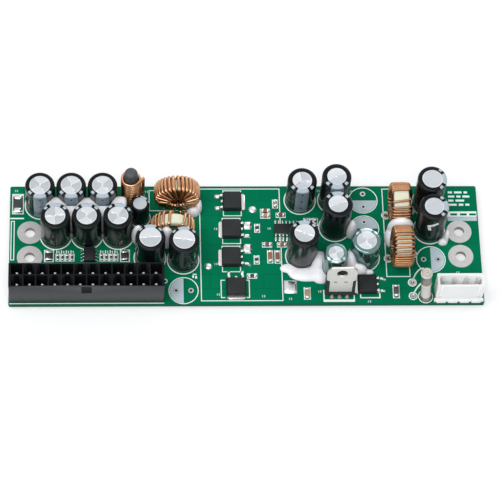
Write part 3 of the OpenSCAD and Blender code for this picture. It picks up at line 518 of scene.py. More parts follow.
# Cushions: place, width, depth and height in mm, and turn in degrees
CUSHIONS = [
    (14.6, -16.2, 4.3, 4.9, 0.55, 0), (-9.2, 18.4, 2.4, 1.6, 0.7, 0), (-9.2, 13.9, 2.4, 1.6, 0.7, 0),
    (0.6, 7.3, 3.2, 3.2, 0.7, 0), (0.3, 3.2, 2.8, 1.5, 0.7, 0), (0.4, -1.6, 3.3, 3.8, 0.7, 0),
    (-0.1, -7.5, 3.4, 1.2, 0.7, -12), (-6.1, -11.3, 1.4, 2.1, 0.7, 0), (-1.5, -11.1, 1.4, 2.1, 0.7, 0),
    (45.6, -13.4, 3.0, 1.1, 0.7, -6), (45.3, -17.9, 3.0, 1.1, 0.7, 4),
]
CHIP_X, CHIP_Y, CHIP_PITCH, CHIP_ROW = 14.12, 5.2, 1.27, 3.2
for k in range(-3, 4):
    CUSHIONS += [(CHIP_X + CHIP_PITCH * k, CHIP_Y + way * CHIP_ROW, 0.62, 1.5, 0.1, 0) for way in (-1, 1)]
for spot in CUSHIONS:
    cushion(domes, *spot)
settle(domes, "solder_domes", [solder])
REGULATOR_X, REGULATOR_Y, REGULATOR_PITCH = 31.02, -19.9, 2.54
lumps = bmesh.new()
for k in (-1, 0, 1):
    dome(lumps, REGULATOR_X + REGULATOR_PITCH * k, REGULATOR_Y, 0.9, 0.75)
settle(lumps, "regulator_solder", [dull_solder_and_painted_shade])
print("cushions of solder:", len(CUSHIONS))

# %% [markdown]
# ## Plated holes
# The four mounting holes are plated through, so their walls show metal instead of laminate. The walls
# take the dull, dark solder finish, as painted shade inside the holes. Each is a short tube just
# inside the CAD's hole.

# %% Plated holes
HOLE_R, HOLE_FOOT = 1.78 * MM, TOP - 1.62 * MM
WALL_R = HOLE_R + 0.01 * MM
barrels = bmesh.new()
for low, high in solid_boxes("tinned_pads"):
    if high.x - low.x > 8 * MM and low.z > TOP - 0.5 * MM:
        tube = [(HOLE_R, high.z), (HOLE_R, HOLE_FOOT), (WALL_R, HOLE_FOOT), (WALL_R, high.z)]
        add_to(barrels, turned(tube, plan_middle(low, high), 40))
print("plated holes:", len(solids(barrels)))
# Walls in the dull, dark solder, as painted shade inside the holes
settle(barrels, "hole_barrels", [dull_solder_and_painted_shade])

# %% [markdown]
# ## Capacitor sleeves: the print
# Each can wears a shrunk PVC sleeve with a pale polarity stripe down one side. The sleeve gets a UV
# map that follows it: across is the turn round the can, with the stripe's middle at one half, and up
# is the distance from the lip in centimetres. The stripe, its short bars and a pale patch on the
# shoulder at each side of it, partly print that wraps over the shoulder and partly a painted glint,
# are then simple bands in UV space, and they keep their width on every can.

# %% Capacitor sleeves: the print
SHOULDER, SHOULDER_SHINE = 0.16, 0.12  # depth in cm, and specular level


def printed_sleeve(name, film, stripe, pale, ink, shine, **numbers):
    """Shrink film with a printed stripe, with soft drift where it was pulled tight."""
    material = finish(name, *film, 1.4, 0.05, (1, 1, 0.25), **numbers)
    tree = material.node_tree
    shader = tree.nodes["Principled BSDF"]
    uv = add_node(tree, "UVMap", uv_map="around")
    split = add_node(tree, "SeparateXYZ", {0: uv.outputs["UV"]}).outputs
    middle = add_node(tree, "Math", {0: split["X"], 1: 0.5}, operation="SUBTRACT")
    aside = add_node(tree, "Math", {0: middle.outputs[0]}, operation="ABSOLUTE").outputs[0]
    colour = shader.inputs["Base Color"].links[0].from_socket
    # Mark: middle and half width in turns, middle and half width in cm below the lip, colour
    # The stripe, paler on the shoulder; a pale patch beside it on the shoulder, partly print and partly
    # painted glint; then the ink bars
    marks = [(0.0, 0.073, 1.5, 1.5, stripe), (0.0, 0.073, 0.0, 0.2, pale), (0.135, 0.022, 0.1, 0.06, pale)]
    marks += [(0.0, 0.009, depth, 0.05, ink) for depth in (0.34, 0.8, 1.26)]
    for turn, half_turn, depth, half_depth, tone in marks:
        across = add_node(tree, "Math", {0: aside, 1: turn, 2: half_turn}, operation="COMPARE")
        down = add_node(tree, "Math", {0: split["Y"], 1: depth, 2: half_depth}, operation="COMPARE")
        both = add_node(tree, "Math", {0: across.outputs[0], 1: down.outputs[0]}, operation="MULTIPLY")
        tones = {0: both.outputs[0], MIX_A: colour, MIX_B: srgb(tone)}
        colour = add_node(tree, "Mix", tones, data_type="RGBA").outputs[MIX_OUT]
    tree.links.new(colour, shader.inputs["Base Color"])
    # The shoulder is stretched most and stays dull, and the wall below it is glossy
    wall = add_node(tree, "Math", {0: split["Y"], 1: SHOULDER}, operation="GREATER_THAN").outputs[0]
    gloss = add_node(tree, "MapRange", {"Value": wall, "To Min": SHOULDER_SHINE, "To Max": shine})
    tree.links.new(gloss.outputs[0], shader.inputs["Specular IOR Level"])
    return material


# Black PVC: glossy shrink film
black_sleeve = printed_sleeve(
    "black_pvc_sleeve", ("#0b0f10", "#151a1c"), "#7d8c97", "#aebac3", "#3b444b", 0.42, Roughness=0.2
)
# Clear green film over bright metal, so it mirrors the board around it
GREEN_FILM = ("#4f706f", "#7d9c9b")
teal_sleeve = printed_sleeve(
    "green_film_sleeve", GREEN_FILM, "#93adae", "#c9d8da", "#4c6d68", 0.5, Metallic=0.85, Roughness=0.12
)
print("sleeve finishes:", black_sleeve.name, teal_sleeve.name)

# %% [markdown]
# ## Can aluminium
# The lids are rolled sheet, with fine lines in one direction. A score pressed in one direction gets
# painted shade, and one across it a painted highlight, and the lid's rim and every second sector get a
# weaker painted highlight. The can's mesh carries both as numbers on its vertices, named pressed and
# lit, and the finish darkens by one and brightens by the other.

# %% Can aluminium
ROLLED_ALONG = (0.12, 1, 1)
aluminium = finish(
    "rolled_aluminium", "#a7adb2", "#bdc2c7", 0.35, 0.004, ROLLED_ALONG, Metallic=1.0, Roughness=0.36
)
tree = aluminium.node_tree
shader = tree.nodes["Principled BSDF"]
colour = shader.inputs["Base Color"].links[0].from_socket
# Painted shade and painted highlight, read from the numbers on the lid's vertices
for number, tone in (("pressed", "#4a5056"), ("lit", "#f3f6f8")):
    amount = add_node(tree, "Attribute", attribute_name=number).outputs["Fac"]
    tones = {0: amount, MIX_A: colour, MIX_B: srgb(tone)}
    colour = add_node(tree, "Mix", tones, data_type="RGBA").outputs[MIX_OUT]
tree.links.new(colour, shader.inputs["Base Color"])
print("lid finish:", aluminium.name)

# %% [markdown]
# ## Capacitor cans and sleeves
# A can is deep-drawn aluminium: a flat lid with pressed vent scores, a round shoulder, and a rolled
# groove near its foot. Both can and sleeve are profiles spun round the can's axis. Every score lies
# on a spoke of the spun lid, so its vertices are lowered afterwards to press it in, and every second
# sector between the scores gets a little painted highlight.

# %% Capacitor cans: their shape
CROSS, LINE, FORK, PLAIN = (0, 90, 180, 270), (0, 180), (90, 210, 330), ()
# Can number: direction of the stripe, vent scores, direction of the first score in degrees, lip's share
CANS = {
    1: (-90, CROSS, 35, 0.30), 2: (-90, CROSS, 30, 0.30), 3: (-90, CROSS, 50, 0.30), 4: (90, CROSS, 5, 0.32),
    5: (90, CROSS, 40, 0.32), 6: (80, CROSS, 62, 0.32), 7: (60, PLAIN, 0, 0.25), 8: (90, LINE, 4, 0.27),
    9: (90, LINE, -8, 0.27), 10: (-90, FORK, 10, 0.34), 11: (-90, LINE, 25, 0.35), 12: (90, LINE, 20, 0.35),
    13: (90, LINE, -22, 0.32), 14: (90, CROSS, 35, 0.33), 15: (-90, CROSS, 20, 0.36), 16: (0, PLAIN, 0, 0.31),
    17: (0, PLAIN, 0, 0.35),
}
GREEN_CANS = (14, 15)
FOOT_GAP, FILM = 0.2 * MM, 0.15 * MM
GROOVE, GROOVE_HALF, GROOVE_DEPTH = TOP + 2.2 * MM, 0.5 * MM, 0.3 * MM
CAN_BEND, SLEEVE_BEND = 0.75 * MM, 0.85 * MM
LID_RINGS = (0, 0.06, 0.25, 0.45, 0.65, 0.82, 0.93, 1)  # shares of the lid's radius
BULGE, BULGE_WIDTH, SCORE_DEPTH = 0.05, 1.5, 0.06  # mm
# Strengths of the painted shade, and of the painted highlight on the rim and on every second sector
SHADE, RIM_LIGHT, SECTOR_LIGHT = 0.7, 0.6, 0.3  # shares of the darker and the brighter tone


def round_shoulder(radius, top, bend, steps=6):
    """Points of a quarter bend from a flat lid down to an upright wall."""
    angles = [math.radians(90 - 90 * k / steps) for k in range(steps + 1)]
    return [(radius - bend + bend * math.cos(a), top - bend + bend * math.sin(a)) for a in angles]


def can(radius, top, lid, scores):
    """A can round the origin, with its scores pressed into the vertices of its lid."""
    foot = TOP + FOOT_GAP
    rings = [(lid * share, top) for share in LID_RINGS]
    side = round_shoulder(radius, top, CAN_BEND) + [
        (radius, GROOVE + GROOVE_HALF), (radius - GROOVE_DEPTH, GROOVE), (radius, GROOVE - GROOVE_HALF),
        (radius, foot + 0.5 * MM), (radius - 0.5 * MM, foot), (0, foot),
    ]
    bm = turned(rings + side, (0, 0, 0), 120, closed=False)
    pressed, lit = (bm.verts.layers.float.new(name) for name in ("pressed", "lit"))
    for vert in bm.verts:
        reach = vert.co.xy.length
        if vert.co.z < top - 0.01 * MM or reach > 0.99 * lid:
            continue
        angle = math.degrees(math.atan2(vert.co.y, vert.co.x))
        aside, nearest = min(((abs(math.remainder(angle - s, 360)), s) for s in scores), default=(90, 0))
        away = reach * math.sin(math.radians(min(aside, 90)))
        on_score = bool(scores) and away < 0.01 * MM
        # Painted shade along scores in one direction, painted highlight along the others, on the rim and on
        # every second sector
        vert[pressed] = SHADE if on_score and nearest % 180 else 0.0
        sector = sum(angle % 360 > s for s in scores)
        vert[lit] = RIM_LIGHT if reach > 0.9 * lid else SECTOR_LIGHT * (sector % 2)
        if on_score:
            vert[lit] = 0.0 if nearest % 180 else 1.0
        rise = BULGE * min(1.0, away / (BULGE_WIDTH * MM)) - SCORE_DEPTH * on_score if scores else 0.0
        vert.co.z += rise * MM * (1 - (reach / lid) ** 6)
    return bm


print("cans:", len(CANS))

# %% Capacitor sleeves: their shape and UV map
def sleeve(radius, top, lip):
    """A shrunk sleeve round the origin: it folds over the shoulder, and under the foot."""
    foot = TOP + FOOT_GAP + 0.05 * MM
    outer = [(radius - lip, top - 0.02 * MM), (radius - lip + 0.1 * MM, top)]
    outer += round_shoulder(radius, top, SLEEVE_BEND)
    wall = (top - GROOVE - 1.4 * MM) / 5
    outer += [(radius, top - 0.9 * MM - wall * k) for k in range(1, 6)]
    outer += [(radius - 0.1 * MM, GROOVE), (radius, GROOVE - GROOVE_HALF), (radius, foot + 0.4 * MM)]
    outer += [(radius - 0.15 * MM, foot + 0.1 * MM), (radius - 0.5 * MM, foot)]
    inner = [(radius - 0.5 * MM, foot + FILM), (radius - FILM, foot + 0.5 * MM)]
    inner += list(reversed(round_shoulder(radius - FILM, top - FILM, CAN_BEND)))
    inner += [(radius - lip, top - FILM)]
    return turned(outer + inner, (0, 0, 0), 64)


def map_around(bm, top, lip_radius, stripe):
    """UV map of a sleeve: turns from the stripe, and distance from the lip in centimetres."""
    layer = bm.loops.layers.uv.new("around")
    for face in bm.faces:
        middle = face.calc_center_median()
        centre = math.atan2(middle.y, middle.x)
        for loop in face.loops:
            x, y, z = loop.vert.co
            step = math.remainder(math.atan2(y, x) - centre, 2 * math.pi)
            turn = math.remainder(centre - stripe, 2 * math.pi) + step
            depth = math.hypot(x, y) - lip_radius + top - z
            loop[layer].uv = (0.5 + turn / (2 * math.pi), depth / (10 * MM))


print("film is", FILM / MM, "mm thick")

# %% Capacitor cans and sleeves in place
def can_place(number):
    """The middle on the board, the radius and the top of a can in its sleeve."""
    low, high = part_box(f"capacitor_{number:02d}_sleeve")
    return plan_middle(low, high), (high.x - low.x) / 2, high.z


for number, (stripe, scores, first, share) in CANS.items():
    name = f"capacitor_{number:02d}"
    middle, radius, top = can_place(number)
    lip = share * radius
    body = can(radius - FILM - 0.02 * MM, top - FILM - 0.03 * MM, radius - lip + 0.25 * MM, scores)
    set_down(body, middle, turn_z(first))
    settle(body, name + "_can", [aluminium], [name], sharp=40)
    film = sleeve(radius, top, lip)
    map_around(film, top, radius - lip, math.radians(stripe))
    set_down(film, middle)
    look, slot = (teal_sleeve, "teal_sleeve") if number in GREEN_CANS else (black_sleeve, "black_sleeve")
    settle(film, name + "_shrink_sleeve", [look], [name + "_sleeve"], sharp=50)
print("cans and sleeves:", 2 * len(CANS))

# %% [markdown]
# ## Ring chokes
# Copper wire is wound by hand round a coated powder core, in and out of the bore, and its two ends
# drop through the board. The path repeats the eight corners of a turn, and every second turn lies
# over its neighbours in the bore, where there is less room. A few turns of each choke are fixed at
# the angles where the photograph shows them, and the rest are spaced evenly between. The path's
# corners are then cut twice, so the wire bends like drawn copper instead of folding.

# %% Ring chokes: the wire's path
SEAT, BEND, END_OUT, LAYER = 0.02, 0.4, 1.6, 0.75  # mm, apart from a second layer's share of the wire
LEAD_FOOT = -1.6  # height of a lead's end from the board's top, in mm


def cut_corners(path, times=2):
    """The path with each corner cut off, again and again, until it is round."""
    for _ in range(times):
        inside = [a.lerp(b, share) for a, b in zip(path, path[1:]) for share in (0.25, 0.75)]
        path = [path[0]] + inside + [path[-1]]
    return path


def choke_path(low, high, bore, wire, side, far, knots):
    """The wire's path round a ring core that stands in that box."""
    size = (high - low) / MM
    along_y = size.y < size.x
    centre = (low + high) / 2
    off = wire / 2 + 2 * SEAT
    outer, half = size.z / 2 + off, min(size.x, size.y) / 2 + off

    def place(angle, radius, shift):
        flat, rise = radius * math.cos(angle), radius * math.sin(angle)
        local = Vector((flat, side * shift, rise)) if along_y else Vector((side * shift, -flat, rise))
        return centre + local * MM

    path = []
    for step in range(8 * knots[-1][0] + far + 1):
        lift = LAYER * wire if (step // 8) % 2 else 0
        inner, wide = bore / 2 - off - lift, half + lift
        corner = [
            (outer, BEND - half), (outer, half - BEND), (outer - BEND, half), (inner + BEND, wide),
            (inner, wide - BEND), (inner, BEND - wide), (inner + BEND, -wide), (outer - BEND, -half),
        ][step % 8]
        (turn_a, angle_a), (turn_b, angle_b) = next(
            pair for pair in zip(knots, knots[1:]) if step / 8 <= pair[1][0] or pair[1] is knots[-1]
        )
        angle = angle_a + (angle_b - angle_a) * (step / 8 - turn_a) / (turn_b - turn_a)
        path.append(place(math.radians(angle), *corner))
    outward = Vector((0, -side, 0)) if along_y else Vector((-side, 0, 0))
    ends = []
    for end, way in ((path[0], 1), (path[-1], 1 - 2 * far)):
        foot = end + way * outward * END_OUT * MM
        ends.append([Vector((foot.x, foot.y, TOP + dz * MM)) for dz in (LEAD_FOOT, 0.8)])
    return ends[0] + path + ends[1][::-1]


print("a second layer lies", LAYER, "of a wire further out")

# %% Ring chokes
# Choke: bore and wire in mm, side of the first end, whether the last end leaves on the far side, and
# where the turns lie: pairs of a turn and its angle round the ring, between which they are even
CHOKES = {
    "toroid_1": (8.4, 1.26, 1, 0, [(0, -80), (15, 86), (16, 100), (30, 260)]),
    "toroid_2": (8.4, 1.0, -1, 0, [(0, -64), (6, 24), (8, 53), (9, 98), (10, 116), (12, 143), (20, 244)]),
    "toroid_3": (7.6, 0.85, 1, 1, [(0, -82), (8, 16), (11, 47), (12, 65), (13, 104), (16, 122), (28, 262)]),
    "toroid_4": (7.6, 0.85, 1, 1, [(0, -82), (14, 34), (20, 110), (23, 128), (38, 262)]),
}
FINE_WIRE, CORE_EDGE = 0.9, 0.55  # mm
for name, (bore, wire, *rest) in CHOKES.items():
    low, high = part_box(name + "_core")
    path = cut_corners(choke_path(low, high, bore, wire, *rest))
    # The finer wire takes the darker copy, as painted shade
    copper = copper_wire if wire > FINE_WIRE else fine_copper_painted_shade
    settle(wires([path], wire / 2 * MM), name + "_copper", [copper], [name + "_winding"], 60)
    size = high - low
    half, bore_r = min(size.x, size.y) / 2, bore / 2 * MM
    core = turned([(size.z / 2, half), (bore_r, half), (bore_r, -half), (size.z / 2, -half)], (0, 0, 0), 64)
    rounded(core, CORE_EDGE * MM, corner=60, segments=3)
    # Faces in the bore take the dark brown, as painted shade
    for face in core.faces:
        face.material_index = 1 if face.calc_center_median().xy.length < bore_r + 0.1 * MM else 0
    axis = Vector((0, 1, 0)) if size.y < size.x else Vector((1, 0, 0))
    set_down(core, (low + high) / 2, axis.to_track_quat("Z", "Y").to_matrix())
    settle(core, name + "_ring", [core_coating, bore_painted_shade], [name + "_core"])
    print(name, len(path), "points of wire")

# %% [markdown]
# ## Rod choke
# A ground ferrite rod stands upright inside a close-wound coil of thick wire. The rod is a turned
# profile with a rounded top. The coil is a helix, whose end leaves along its tangent and drops to
# the board.

# %% Rod choke
ROD_WIRE, ROD_TURNS, STEPS = 1.15, 11, 32
ROD_CROWN, COIL_LIFT, COIL_PITCH = 1.4, 0.3, 1.04 * ROD_WIRE  # mm
low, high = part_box("rod_core")
rod_middle, rod_radius, rod_top = plan_middle(low, high), (high.x - low.x) / 2, high.z
crown = round_shoulder(rod_radius, rod_top, ROD_CROWN * MM)
rod = turned([(0, rod_top)] + crown + [(rod_radius, low.z), (0, low.z)], rod_middle, 40, closed=False)
settle(rod, "ferrite_rod", [ferrite], ["rod_core"])
coil_radius = rod_radius + (ROD_WIRE / 2 + 4 * SEAT) * MM
coil = []
for step in range(STEPS * ROD_TURNS + STEPS * 5 // 8 + 1):
    angle = math.pi / 2 + 2 * math.pi * step / STEPS
    rise = TOP + (ROD_WIRE / 2 + COIL_LIFT + COIL_PITCH * step / STEPS) * MM
    coil.append(rod_middle + Vector((coil_radius * math.cos(angle), coil_radius * math.sin(angle), rise)))
last = coil[-1]
drop = rod_middle + Vector((max(coil_radius * math.sqrt(2), coil_radius + (ROD_WIRE + 0.05) * MM), 0, 0))
foot = TOP + LEAD_FOOT * MM
bend = [drop + Vector((0, 0, z)) for z in (last.z, last.z - 0.8 * MM, foot)]
path = [Vector((coil[0].x, coil[0].y, foot))] + cut_corners(coil + bend, 1)
settle(wires([path], ROD_WIRE / 2 * MM), "rod_coil", [copper_wire], ["rod_winding"], 60)
print("rod coil top at", round(last.z / MM, 1), "mm")

# %% [markdown]
# ## Headers and pins
# Both headers are injection-moulded, so their edges carry a small radius that catches the light. A
# copy of each CAD solid is merged and its sharp edges are bevelled. Faces inside the cells take a
# finish of their own: painted shade in the black header's cells, and painted light in the white
# header's trough. The pins are square drawn wire, tin plated, and keep their CAD shape; the black
# header's pins are near white, as a painted highlight on their tips.

# %% Headers and pins
SHROUD_EDGE, TROUGH_EDGE = 0.12, 0.1  # mm
WALL, LARGE_FACE = 0.15 * MM, 20 * MM * MM
shroud = eased("output_header", SHROUD_EDGE, flat=False)
low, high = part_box("output_header")
back = max(f.calc_center_median().y for f in shroud.faces if f.calc_area() > LARGE_FACE)
for face in shroud.faces:
    x, y, z = face.calc_center_median()
    inside = low.x + WALL < x < high.x - WALL and low.y + WALL < y < back - WALL
    flat = max(abs(c) for c in face.normal) > 0.95
    # Flat faces inside the cells take the darker copy, as painted shade
    face.material_index = 1 if inside and flat else 0
settle(shroud, "output_shroud", [black_nylon, black_cell_painted_shade], ["output_header"])
trough = eased("input_header", TROUGH_EDGE, flat=False)
low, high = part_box("input_header")
for face in trough.faces:
    x, y, z = face.calc_center_median()
    inside = low.x + 0.6 * MM < x < high.x - 0.6 * MM and low.y + 1.5 * MM < y < high.y - 0.2 * MM
    # Faces inside the trough take the lighter copy, as painted light
    face.material_index = 1 if inside and TOP + 1.5 * MM < z < high.z - 0.2 * MM else 0
settle(trough, "input_shroud", [white_nylon, white_cell_painted_light], ["input_header"])
# The black header's pins take the near-white tin, as a painted highlight
dress("output_pins", pin_painted_highlight)
dress("input_pins", dull_pin)
print("headers rounded by", SHROUD_EDGE, "and", TROUGH_EDGE, "mm")

# %% [markdown]
# ## Regulator and transistors
# The regulator shows its plated back plate to the front, with black epoxy behind it. The flat
# transistors are the same epoxy over a tinned plate. Their moulded and stamped edges are eased a
# little. Each transistor's plate is widened where it comes out, and the regulator's plate gets the
# two dashes that were stamped into it.

# %% Regulator and transistors: eased edges
# Piece: CAD node, rounding in mm, whether its flat faces are joined first, finish and slot
EASED = {
    "regulator_plate": ("regulator_tab", 0.12, False, plated_tab, "plated_tab"),
    "regulator_epoxy": ("regulator_body", 0.15, True, black_epoxy, "black_epoxy"),
    "transistor_epoxy": ("transistor_bodies", 0.15, True, black_epoxy, "black_epoxy"),
    "transistor_plates": ("transistor_leadframes", 0.08, True, tinned_pin, "plated_tab"),
}
for name, (node, width, flat, material, slot) in EASED.items():
    settle(eased(node, width, flat), name, [material], [node])

print("eased:", ", ".join(EASED))

# %% Transistor flanges
# Direction of each transistor's plate in degrees, from the back of the board, the right-hand one last
PLATE_SIDES = (0, 180, 180, -90, 180)
FLANGE_HALF, FLANGE_OUT, FLANGE_THICK, FLANGE_SHARE = 0.5, 0.45, 0.26, 0.93  # mm, and a share
transistors = solid_boxes("transistor_bodies", MM)
flanges = bmesh.new()
for (low, high), way in zip(sorted(transistors, key=lambda pair: (pair[0].x > 10, -pair[0].y)), PLATE_SIDES):
    middle, half = (low + high) / 2, (high - low) / 2
    out = Vector((math.cos(math.radians(way)), math.sin(math.radians(way))))
    size = [FLANGE_HALF if abs(out[i]) > 0.5 else FLANGE_SHARE * half[i] for i in (0, 1)]
    spot = [(middle[i] + out[i] * (half[i] + FLANGE_OUT)) * MM for i in (0, 1)]
    shape = Matrix.Diagonal((size[0] * MM, size[1] * MM, FLANGE_THICK * MM, 1))
    lift = Matrix.Translation((*spot, TOP + (FLANGE_THICK + 0.01) * MM))
    bmesh.ops.create_cube(flanges, size=2.0, matrix=lift @ shape)
settle(flanges, "transistor_flanges", [tinned_pin])

print("transistors:", len(transistors))

# %% Regulator dashes
# Two stamped dashes on the plate's front, at the step where it narrows
DASH_X, DASH_Z, DASH_HALF = (29.0, 32.5), 12.3, (0.55, 0.18)
plate = merged_copy("regulator_tab")
front = max((f for f in plate.faces if f.normal.y < -0.9 and f.normal.z > 0.05), key=lambda f: f.calc_area())
spot, normal = front.verts[0].co.copy(), front.normal.copy()
plate.free()
stamps = bmesh.new()
for middle in DASH_X:
    around = ((-1, -1), (1, -1), (1, 1), (-1, 1))
    rim = [(middle + u * DASH_HALF[0], DASH_Z + v * DASH_HALF[1]) for u, v in around]
    depths = [spot.y - normal.z * (z * MM - spot.z) / normal.y - 0.02 * MM for x, z in rim]
    stamps.faces.new([stamps.verts.new((x * MM, y, z * MM)) for (x, z), y in zip(rim, depths)])
settle(stamps, "regulator_stamps", [black_epoxy])
print("dashes:", len(DASH_X))

# %% [markdown]
# ## Control chips
# The two control chips are one CAD node: epoxy bodies with gull-wing leads in the same solids. Faces
# that lie outside a body's footprint belong to the leads, so they get the tin finish and the rest
# the epoxy.

# %% Control chips
LEAD_REACH, LONG_CHIP = 1.06 * MM, 7 * MM
chips = eased("control_chips", 0.05)
for group in solids(chips):
    low, high = corners([v.co for v in group])
    # The long chip has its leads at the front and back, and the short one at its two sides
    axis = 1 if high.x - low.x > LONG_CHIP else 0
    for face in {f for v in group for f in v.link_faces}:
        middle = face.calc_center_median()[axis]
        face.material_index = 0 if low[axis] + LEAD_REACH < middle < high[axis] - LEAD_REACH else 1
settle(chips, "control_chip_pair", [black_epoxy, tinned_pin], ["control_chips"])
print("control chips split into epoxy and leads")

# %% [markdown]
# ## Small chips
# Chip capacitors are brown or tan ceramic, and chip resistors are white ceramic with a dark glass
# top. One piece holds all of them. Each chip's colour is written to a colour attribute on its
# vertices, and one material reads it, so the colours travel with the mesh. Each terminal sits in a
# fillet of solder that reaches out over its pad, further on a large chip.

# %% Small chips: finish
CERAMIC = ("#6f4327", "#8a5a38", "#a38865", "#7a4a2c")
RESISTOR, DIODE = "#1e2326", "#3a4340"
THIN, THICK = 0.7, 1.1  # height in mm below which a chip is a resistor, and above which it is a diode
# Fired ceramic and glass: smooth and half glossy, a little dusty
chip_paint, tree, shader = new_material("chip_ceramic", Roughness=0.42)
tint = add_node(tree, "Attribute", attribute_name="tint").outputs["Color"]
place = add_node(tree, "TexCoord").outputs["Object"]
cloud = add_node(tree, "TexNoise", {"Vector": place, "Scale": per_mm(0.6)}).outputs["Color"]
tones = {0: 0.35, MIX_A: tint, MIX_B: cloud}
dusty = add_node(tree, "Mix", tones, data_type="RGBA", blend_type="OVERLAY")
tree.links.new(dusty.outputs[MIX_OUT], shader.inputs["Base Color"])

print("chip finish:", chip_paint.name)

# %% Small chips: bodies and ends
bodies = eased("chip_bodies", 0.06)
layer = bodies.verts.layers.float_color.new("tint")
for index, group in enumerate(sorted(solids(bodies), key=lambda g: corners([v.co for v in g])[0].x)):
    low, high = corners([v.co for v in group])
    height = (high.z - low.z) / MM
    colour = RESISTOR if height < THIN else DIODE if height > THICK else CERAMIC[index % len(CERAMIC)]
    for vert in group:
        vert[layer] = srgb(colour)
settle(bodies, "chip_blocks", [chip_paint], ["chip_bodies"])
settle(eased("chip_terminals", 0.05), "chip_ends", [solder], ["chip_terminals"])

chip_boxes = solid_boxes("chip_bodies", MM)
print("small chips:", len(chip_boxes))

# %% Small chips: solder
FILLET = 1.1  # length in mm, and longer on a long or a wide chip
fillets = bmesh.new()
for low, high in solid_boxes("chip_terminals"):
    spot, size = (low + high) / 2 / MM, (high - low) / MM
    owner = min(chip_boxes, key=lambda pair: ((pair[0] + pair[1]) / 2 - spot).length)
    axis = 0 if size.x < size.y else 1
    away = math.copysign(1, spot[axis] - (owner[0][axis] + owner[1][axis]) / 2)
    length, width = ((owner[1] - owner[0])[i] for i in (axis, 1 - axis))
    longer = max(0, 0.42 * length - FILLET, 0.3 * width - 0.3)
    spot[axis] += away * (0.25 - 0.6 * longer)
    size[axis] = FILLET + longer
    height = size.z + 0.08 + 0.1 * longer
    cushion(fillets, spot.x, spot.y, size.x + 0.1 * axis, size.y + 0.1 * (1 - axis), height)
print("fillets:", len(solids(fillets)))
settle(fillets, "chip_solder", [solder])

# %% [markdown]
# ## Upright fuse
# Beside the white header a small ceramic tube stands on end and leans a little. It carries a metal
# can between two flanges, with a cap on top, and two leads slant from it down to the board. The body
# is one spun profile whose faces take their finish by height, and the leads are round wires.

# %% Upright fuse: tube
# Outline of the fuse: radius and height in mm
FUSE = [
    (0, 0), (2.15, 0), (2.15, 0.8), (1.7, 1.6), (1.6, 2.4), (1.6, 9.5), (1.85, 9.9), (1.85, 10.5),
    (1.7, 10.8), (1.72, 16.4), (1.95, 16.8), (1.95, 17.4), (1.7, 17.5), (1.66, 18.2), (1.4, 18.45),
    (0.5, 18.5), (0.45, 18.75), (0, 18.75),
]
# Bands of finish: the height where each ends, and 0 for nickel, 1 for ceramic and 2 for dull metal,
# darker in part as painted shade at the foot and under the upper flange
BANDS = [(1.5, 2), (10.6, 1), (11, 0), (16.3, 2), (16.5, 0), (17.45, 1), (20, 0)]
FUSE_X, FUSE_Y, FUSE_LIFT = 60.16, -19.9, 0.24
fuse_foot = Vector((FUSE_X * MM, FUSE_Y * MM, TOP + FUSE_LIFT * MM))
LEAN = -5  # degrees
lean = Matrix.Rotation(math.radians(LEAN), 3, "Y")
tube = turned([(r * MM, z * MM) for r, z in FUSE], (0, 0, 0), 32, closed=False)
for face in tube.faces:
    height = face.calc_center_median().z / MM
    face.material_index = next(look for end, look in BANDS if height < end)
set_down(tube, fuse_foot, lean)
settle(tube, "fuse_tube", [fuse_nickel, fuse_ceramic, dull_solder_and_painted_shade], ["upright_fuse"], 40)

print("fuse leans by", LEAN, "degrees")

# %% Upright fuse: leads
# Each lead leaves a flange sideways and slants down to its hole: share of the way and height in mm
FUSE_LEADS = [
    ((55.96, -14.63), ((0.15, 17.9), (0.4, 17.2), (0.7, 12.8), (0.92, 7.0), (1, 2.0), (1, -1.8))),
    ((55.96, -19.7), ((0.3, 10.3), (0.55, 9.6), (0.9, 5.0), (1, 1.6), (1, -1.8))),
]
leads = []
for (x, y), slant in FUSE_LEADS:
    start = fuse_foot + lean @ Vector((0, 0, slant[0][1] * MM))
    pad = Vector((x * MM, y * MM, TOP))
    over = [start.lerp(pad, share) for share, _ in slant]
    path = [Vector((point.x, point.y, pad.z + z * MM)) for point, (_, z) in zip(over, slant)]
    leads.append(cut_corners(path))
# The leads take the near-white tin, as a painted highlight
settle(wires(leads, 0.26 * MM), "fuse_lead", [pin_painted_highlight], sharp=60)
print("fuse leads:", len(leads))

# %% [markdown]
# ## Silicone beads
# Dabs of white silicone stop the tall parts from shaking. Each dab starts as a few squashed spheres.
# A voxel remesh melts them into one skin, smoothing rounds it, and any vertex that ended up inside a
# can or under the board is pushed back to its surface, as the paste was when it was squeezed in.

# %% Silicone beads: dabs
# Dab: place in mm, half widths in mm (the place's height is above the board)
DABS = [
    ((20.4, -11.3, 0.0), (6.4, 3.0, 1.4)), ((14.5, -9.2, 0.0), (3.4, 1.9, 1.1)),
    ((25.0, -11.4, 0.0), (3.4, 3.8, 2.2)), ((24.6, -7.2, 1.2), (3.0, 3.6, 3.8)),
    ((34.6, -8.4, 2.4), (2.6, 3.4, 6.6)), ((37.6, -10.6, 0.8), (3.2, 2.0, 4.4)),
    ((41.0, -11.0, 0.2), (2.2, 1.2, 1.6)), ((35.8, 3.6, 3.4), (1.9, 2.2, 6.0)),
    ((67.2, 0.4, 0.4), (1.7, 1.3, 2.0)), ((68.2, 1.6, 2.2), (1.0, 1.6, 4.6)),
    ((-17.8, 11.8, 0.8), (2.2, 1.5, 3.0)), ((-15.9, 13.4, 2.4), (1.2, 2.3, 3.6)),
    ((-36.6, 0.6, 5.6), (2.3, 1.9, 6.6)), ((-27.0, -0.6, 6.2), (2.6, 2.4, 6.8)),
    ((52.5, 3.8, 4.8), (4.6, 2.6, 6.0)), ((49.2, 1.4, 2.0), (2.2, 3.4, 3.4)),
]
